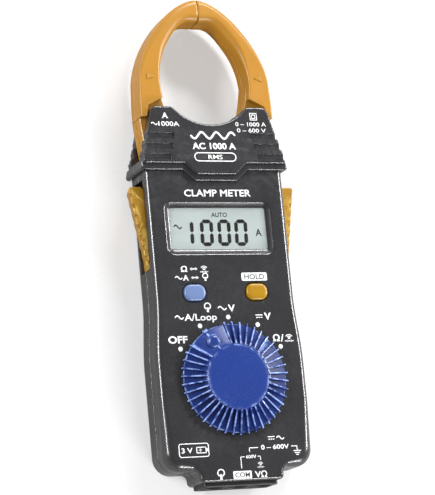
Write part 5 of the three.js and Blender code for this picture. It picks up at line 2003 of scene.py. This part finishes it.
@dataclass
class Internals:
    """The pieces inside, whose shapes the frame already has; they are given their finishes here."""

    paired: dict[str, Finish] = field(
        default_factory=lambda: {
            "jaw_core": Finish.LAMINATIONS,
            "jaw_coil": Finish.WINDINGS,
            "jaw_pivot_pin": Finish.STEEL,
            "jaw_spring": Finish.SPRING,
            "lever_pin": Finish.STEEL,
        }
    )
    single: dict[str, Finish] = field(
        default_factory=lambda: {
            "main_board": Finish.BOARD,
            "lcd_holder": Finish.BLACK,
            "elastomer_strip": Finish.RUBBER,
            "switch_rotor": Finish.WHITE,
            "switch_wiper": Finish.BRASS,
            "detent_spring": Finish.SPRING,
            "select_dome": Finish.SPRING,
            "hold_dome": Finish.SPRING,
            "buzzer_disc": Finish.BRASS,
            "coin_cell": Finish.STEEL,
            "battery_contact_positive": Finish.BRASS,
            "battery_contact_negative": Finish.BRASS,
        }
    )

    def build(self) -> None:
        """Gives every carried-over piece its finish."""
        dressing = {
            f"{name}_{side.word}": finish for name, finish in self.paired.items() for side in reversed(Side)
        }
        for name, finish in {**dressing, **self.single}.items():
            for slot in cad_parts[name].material_slots:
                slot.material = finish.material
            log.info("%s: dressed as %s", name, finish.value.name)


# ---- Printing ----


@dataclass
class Printing:
    """The white and dark lettering and signs on the casing and the collar."""

    face: float = FACE_Z
    ink: float = 0.03  # the print's thickness above the surface
    dial_y: float = DIAL_Y
    dot_ring: float = 22.3

    def function_marks(self, marks: Marks) -> None:
        """The dial's five positions with their dots, words and signs.

        Args:
            marks: Where they are drawn.
        """
        for angle in (150, 120, 90, 60, 30):
            a = math.radians(angle)
            marks.dot(self.dot_ring * math.cos(a), self.dial_y + self.dot_ring * math.sin(a), 0.85)
        marks.text("OFF", -20.0, 52.5, 2.7, 7.3)
        marks.tilde(-18.7, 60.5, 3.2, 1.2, 0.45)
        marks.text("A/Loop", -10.6, 60.5, 2.5, 12.4, 0.015)
        marks.loop_sensor(-7.6, 64.4, 1.35, 0.4)
        marks.tilde(-2.0, 63.6, 3.3, 1.2, 0.45)
        marks.text("V", 1.6, 63.6, 2.6, 2.7)
        marks.direct(12.0, 60.4, 2.7, 0.36)
        marks.text("V", 15.3, 60.4, 2.6, 2.7)
        marks.text("Ω", 17.9, 52.3, 2.5, 2.7)
        marks.text("/", 20.2, 52.3, 2.7, 1.2)
        marks.sounder(22.9, 52.0, 1.75)

    def key_marks(self, marks: Marks) -> None:
        """The signs over the two buttons.

        Args:
            marks: Where they are drawn.
        """
        marks.text("Ω", -15.3, 78.1, 2.1, 2.4)
        marks.two_way(-11.6, 78.1, 3.0, 0.4)
        marks.sounder(-7.6, 77.8, 1.6)
        marks.tilde(-17.6, 74.9, 2.7, 1.0, 0.4)
        marks.text("A", -14.9, 74.9, 2.1, 2.2)
        marks.two_way(-11.4, 74.9, 3.0, 0.4)
        marks.loop_sensor(-7.4, 75.5, 1.15, 0.36)
        marks.shape(rounded_box(11.6, 75.0, (5.0, 1.5), 0.55, 5))

    def socket_marks(self, marks: Marks) -> None:
        """The signs and brackets over the three sockets.

        Args:
            marks: Where they are drawn.
        """
        marks.loop_sensor(-8.3, 4.6, 1.45, 0.42)
        marks.shape(rounded_box(-0.2, 3.6, (3.5, 1.35), 0.3, 4))
        marks.text("VΩ", 6.9, 3.5, 2.3, 4.6, 0.015)
        marks.sounder(7.0, 6.7, 1.3)
        marks.line([(-0.3, 5.8), (-0.3, 9.9)], 0.3)
        marks.line([(-0.3, 9.9), (1.2, 9.9)], 0.3)
        marks.text("600V", 3.7, 9.9, 1.25, 4.0, 0.02)
        marks.line([(6.2, 9.9), (7.2, 9.9)], 0.3)
        marks.line([(7.2, 9.9), (7.2, 8.6)], 0.3)
        marks.line([(3.3, 11.6), (3.3, 13.0)], 0.3)
        marks.line([(3.3, 13.0), (6.7, 13.0)], 0.3)
        marks.text("0 – 600V", 13.2, 13.0, 1.7, 10.8, 0.02)
        marks.line([(19.5, 13.0), (21.7, 13.0), (21.7, 11.3)], 0.3)
        for half, y in ((1.5, 11.3), (1.0, 10.6), (0.5, 9.9)):
            marks.line([(21.7 - half, y), (21.7 + half, y)], 0.32)
        marks.direct(12.1, 16.2, 2.6, 0.34)
        marks.tilde(15.6, 16.2, 2.8, 1.1, 0.4)

    def battery_badge(self, marks: Marks) -> None:
        """An outlined badge with the battery's sign and voltage.

        Args:
            marks: Where they are drawn.
        """
        marks.frame_line(-17.7, 13.0, (5.7, 2.5), 0.9, 0.32)
        marks.text("3 V", -20.3, 13.0, 1.9, 4.2, 0.02)
        marks.frame_line(-14.9, 13.0, (1.9, 1.15), 0.3, 0.32)
        marks.shape(rounded_box(-12.7, 13.0, (0.3, 0.5), 0.15, 3))
        marks.line([(-15.9, 13.0), (-14.7, 13.0)], 0.28)
        marks.line([(-15.3, 12.4), (-15.3, 13.6)], 0.28)

    def collar_marks(self, marks: Marks) -> None:
        """The collar's ranges, its wave emblem and its badge.

        Args:
            marks: Where they are drawn.
        """
        marks.text("A", -17.8, 134.9, 2.2, 2.3)
        marks.tilde(-22.2, 131.7, 2.3, 0.9, 0.38)
        marks.text("1000A", -16.6, 131.7, 1.8, 8.0, 0.01)
        marks.frame_line(16.9, 134.9, (1.45, 1.45), 0.15, 0.3)
        marks.frame_line(16.9, 134.9, (0.8, 0.8), 0.1, 0.28)
        marks.text("0 – 1000 A", 15.5, 131.9, 1.6, 12.2, 0.01)
        marks.text("0 – 600 V", 15.5, 129.5, 1.6, 11.4, 0.01)
        wave = [(x / 10, 127.4 + 1.25 * math.sin(x / 10 * math.pi / 2.9)) for x in range(-87, 88, 3)]
        marks.line(wave, 0.75)
        marks.text("AC 1000 A", 0, 123.3, 2.5, 17.0)
        marks.frame_line(0, 119.1, (8.2, 1.75), 1.7, 0.38)
        marks.text("RMS", 0, 119.1, 1.75, 5.6, 0.01)

    def build(self, collar: Collar) -> None:
        """Lays the printing on the casing and the collar.

        Args:
            collar: The collar, whose top is not level.
        """
        white, dark, high = Marks(), Marks(), Marks()
        self.function_marks(white)
        self.key_marks(white)
        self.socket_marks(white)
        self.battery_badge(white)
        white.text("CLAMP METER", 0.4, 106.2, 2.6, 26.0, 0.02)
        dark.text("HOLD", 11.6, 75.0, 1.95, 7.8, 0.015)
        dark.text("COM", -0.2, 3.6, 1.8, 5.6, 0.015)
        self.collar_marks(high)
        white.place("casing_print", "casing", Finish.WHITE_INK, "", lambda _: self.face + self.ink)
        dark.place("casing_dark_print", "casing", Finish.DARK_INK, "", lambda _: self.face + 2 * self.ink)
        high.place("collar_print", "casing", Finish.WHITE_INK, "", lambda y: collar.top_at(y) + self.ink)


# ---- Studio ----


@dataclass
class Studio:
    """The pale paper, the soft lights and the camera."""

    eye: Place = (-290.4, -167.5, 716.2)
    target: Place = (-1.6, -4.6, 16.0)
    roll: float = 57.6
    lens: float = 156.4
    paper_half: float = 1500.0
    strips: tuple[tuple[str, float, float, float], ...] = (
        ("strip_left", 166, 26, 15.0),
        ("strip_right", 14, 29, 15.5),
        ("strip_low", -67, 22, 13.0),
        ("strip_high", 67, 30, 15.0),
    )  # each with its azimuth, elevation and watts
    strip_size: Point = (700.0, 110.0)
    strip_distance: float = 1300.0
    tent: float = 0.6  # brightness of the low white walls all round
    ceiling: float = 0.22  # and of the darker stretch overhead
    wall_top: Span = (0.38, 0.62)  # sine of the height where they meet

    def add_camera(self) -> None:
        """Adds the camera, turned about its own line of sight."""
        camera = bpy.data.objects.new("camera", bpy.data.cameras.new("camera"))
        camera.data.lens, camera.data.sensor_width = self.lens, 36
        camera.data.clip_start, camera.data.clip_end = 0.01, 20
        eye, target = Vector(self.eye) * MM, Vector(self.target) * MM
        ahead = (target - eye).normalized()
        right = ahead.cross(Vector((0, 0, 1))).normalized()
        up = right.cross(ahead)
        c, s = math.cos(math.radians(self.roll)), math.sin(math.radians(self.roll))
        across, upward = right * c + up * s, up * c - right * s
        turn = Matrix((across, upward, -ahead)).transposed()
        camera.matrix_world = Matrix.Translation(eye) @ turn.to_4x4()
        bpy.context.scene.collection.objects.link(camera)
        bpy.context.scene.camera = camera

    def add_light(self, name: str, place_mm: Place, size_mm: Point, watts: float) -> None:
        """Adds a soft rectangular light that faces the meter.

        Args:
            name: Its name.
            place_mm: Where it stands.
            size_mm: Its width and height.
            watts: Its power.
        """
        light = bpy.data.lights.new(name, "AREA")
        light.shape, light.energy = "RECTANGLE", watts
        light.size, light.size_y = (side * MM for side in size_mm)
        lamp = bpy.data.objects.new(name, light)
        lamp.location = Vector(place_mm) * MM
        lamp.rotation_euler = (-lamp.location).to_track_quat("-Z", "Y").to_euler()
        bpy.context.scene.collection.objects.link(lamp)

    def add_paper(self) -> None:
        """Adds the paper under the meter."""
        h = self.paper_half * MM
        mesh = bpy.data.meshes.new("paper")
        mesh.from_pydata([(-h, -h, -5e-5), (h, -h, -5e-5), (h, h, -5e-5), (-h, h, -5e-5)], [], [(0, 1, 2, 3)])
        mesh.materials.append(Finish.PAPER.material)
        paper = bpy.data.objects.new("paper", mesh)
        bpy.context.scene.collection.objects.link(paper)

    def build(self) -> None:
        """Sets up the whole studio."""
        scene = bpy.context.scene
        scene.view_settings.view_transform = "Standard"
        world = bpy.data.worlds.new("studio")
        world.use_nodes = True
        tree = world.node_tree
        where = add_node(tree, "ShaderNodeTexCoord").outputs["Generated"]
        height = add_node(tree, "ShaderNodeSeparateXYZ", {0: where}).outputs["Z"]
        sky = tree.nodes["Background"]
        sky.inputs["Color"].default_value = (1, 1, 1, 1)
        walls = spread(tree, height, self.wall_top[0], self.wall_top[1], (self.tent, self.ceiling))
        tree.links.new(walls, sky.inputs["Strength"])
        scene.world = world
        self.add_paper()
        for name, azimuth, elevation, watts in self.strips:
            a, e = math.radians(azimuth), math.radians(elevation)
            ray = (math.cos(a) * math.cos(e), math.sin(a) * math.cos(e), math.sin(e))
            self.add_light(name, tuple(self.strip_distance * part for part in ray), self.strip_size, watts)
        self.add_camera()


def main() -> None:
    """Builds the meter, sub-assembly by sub-assembly, and the studio round it."""
    logging.basicConfig(level=logging.INFO, format="%(message)s")
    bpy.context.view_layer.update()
    casing, collar = Casing(), Collar()
    Studio().build()
    casing.build()
    collar.build()
    Jaws().build()
    Levers().build()
    Dial().build()
    Buttons().build()
    Display().build()
    Sockets().build()
    Fasteners().build(casing)
    Internals().build()
    Printing().build(collar)


if __name__ == "__main__":
    main()
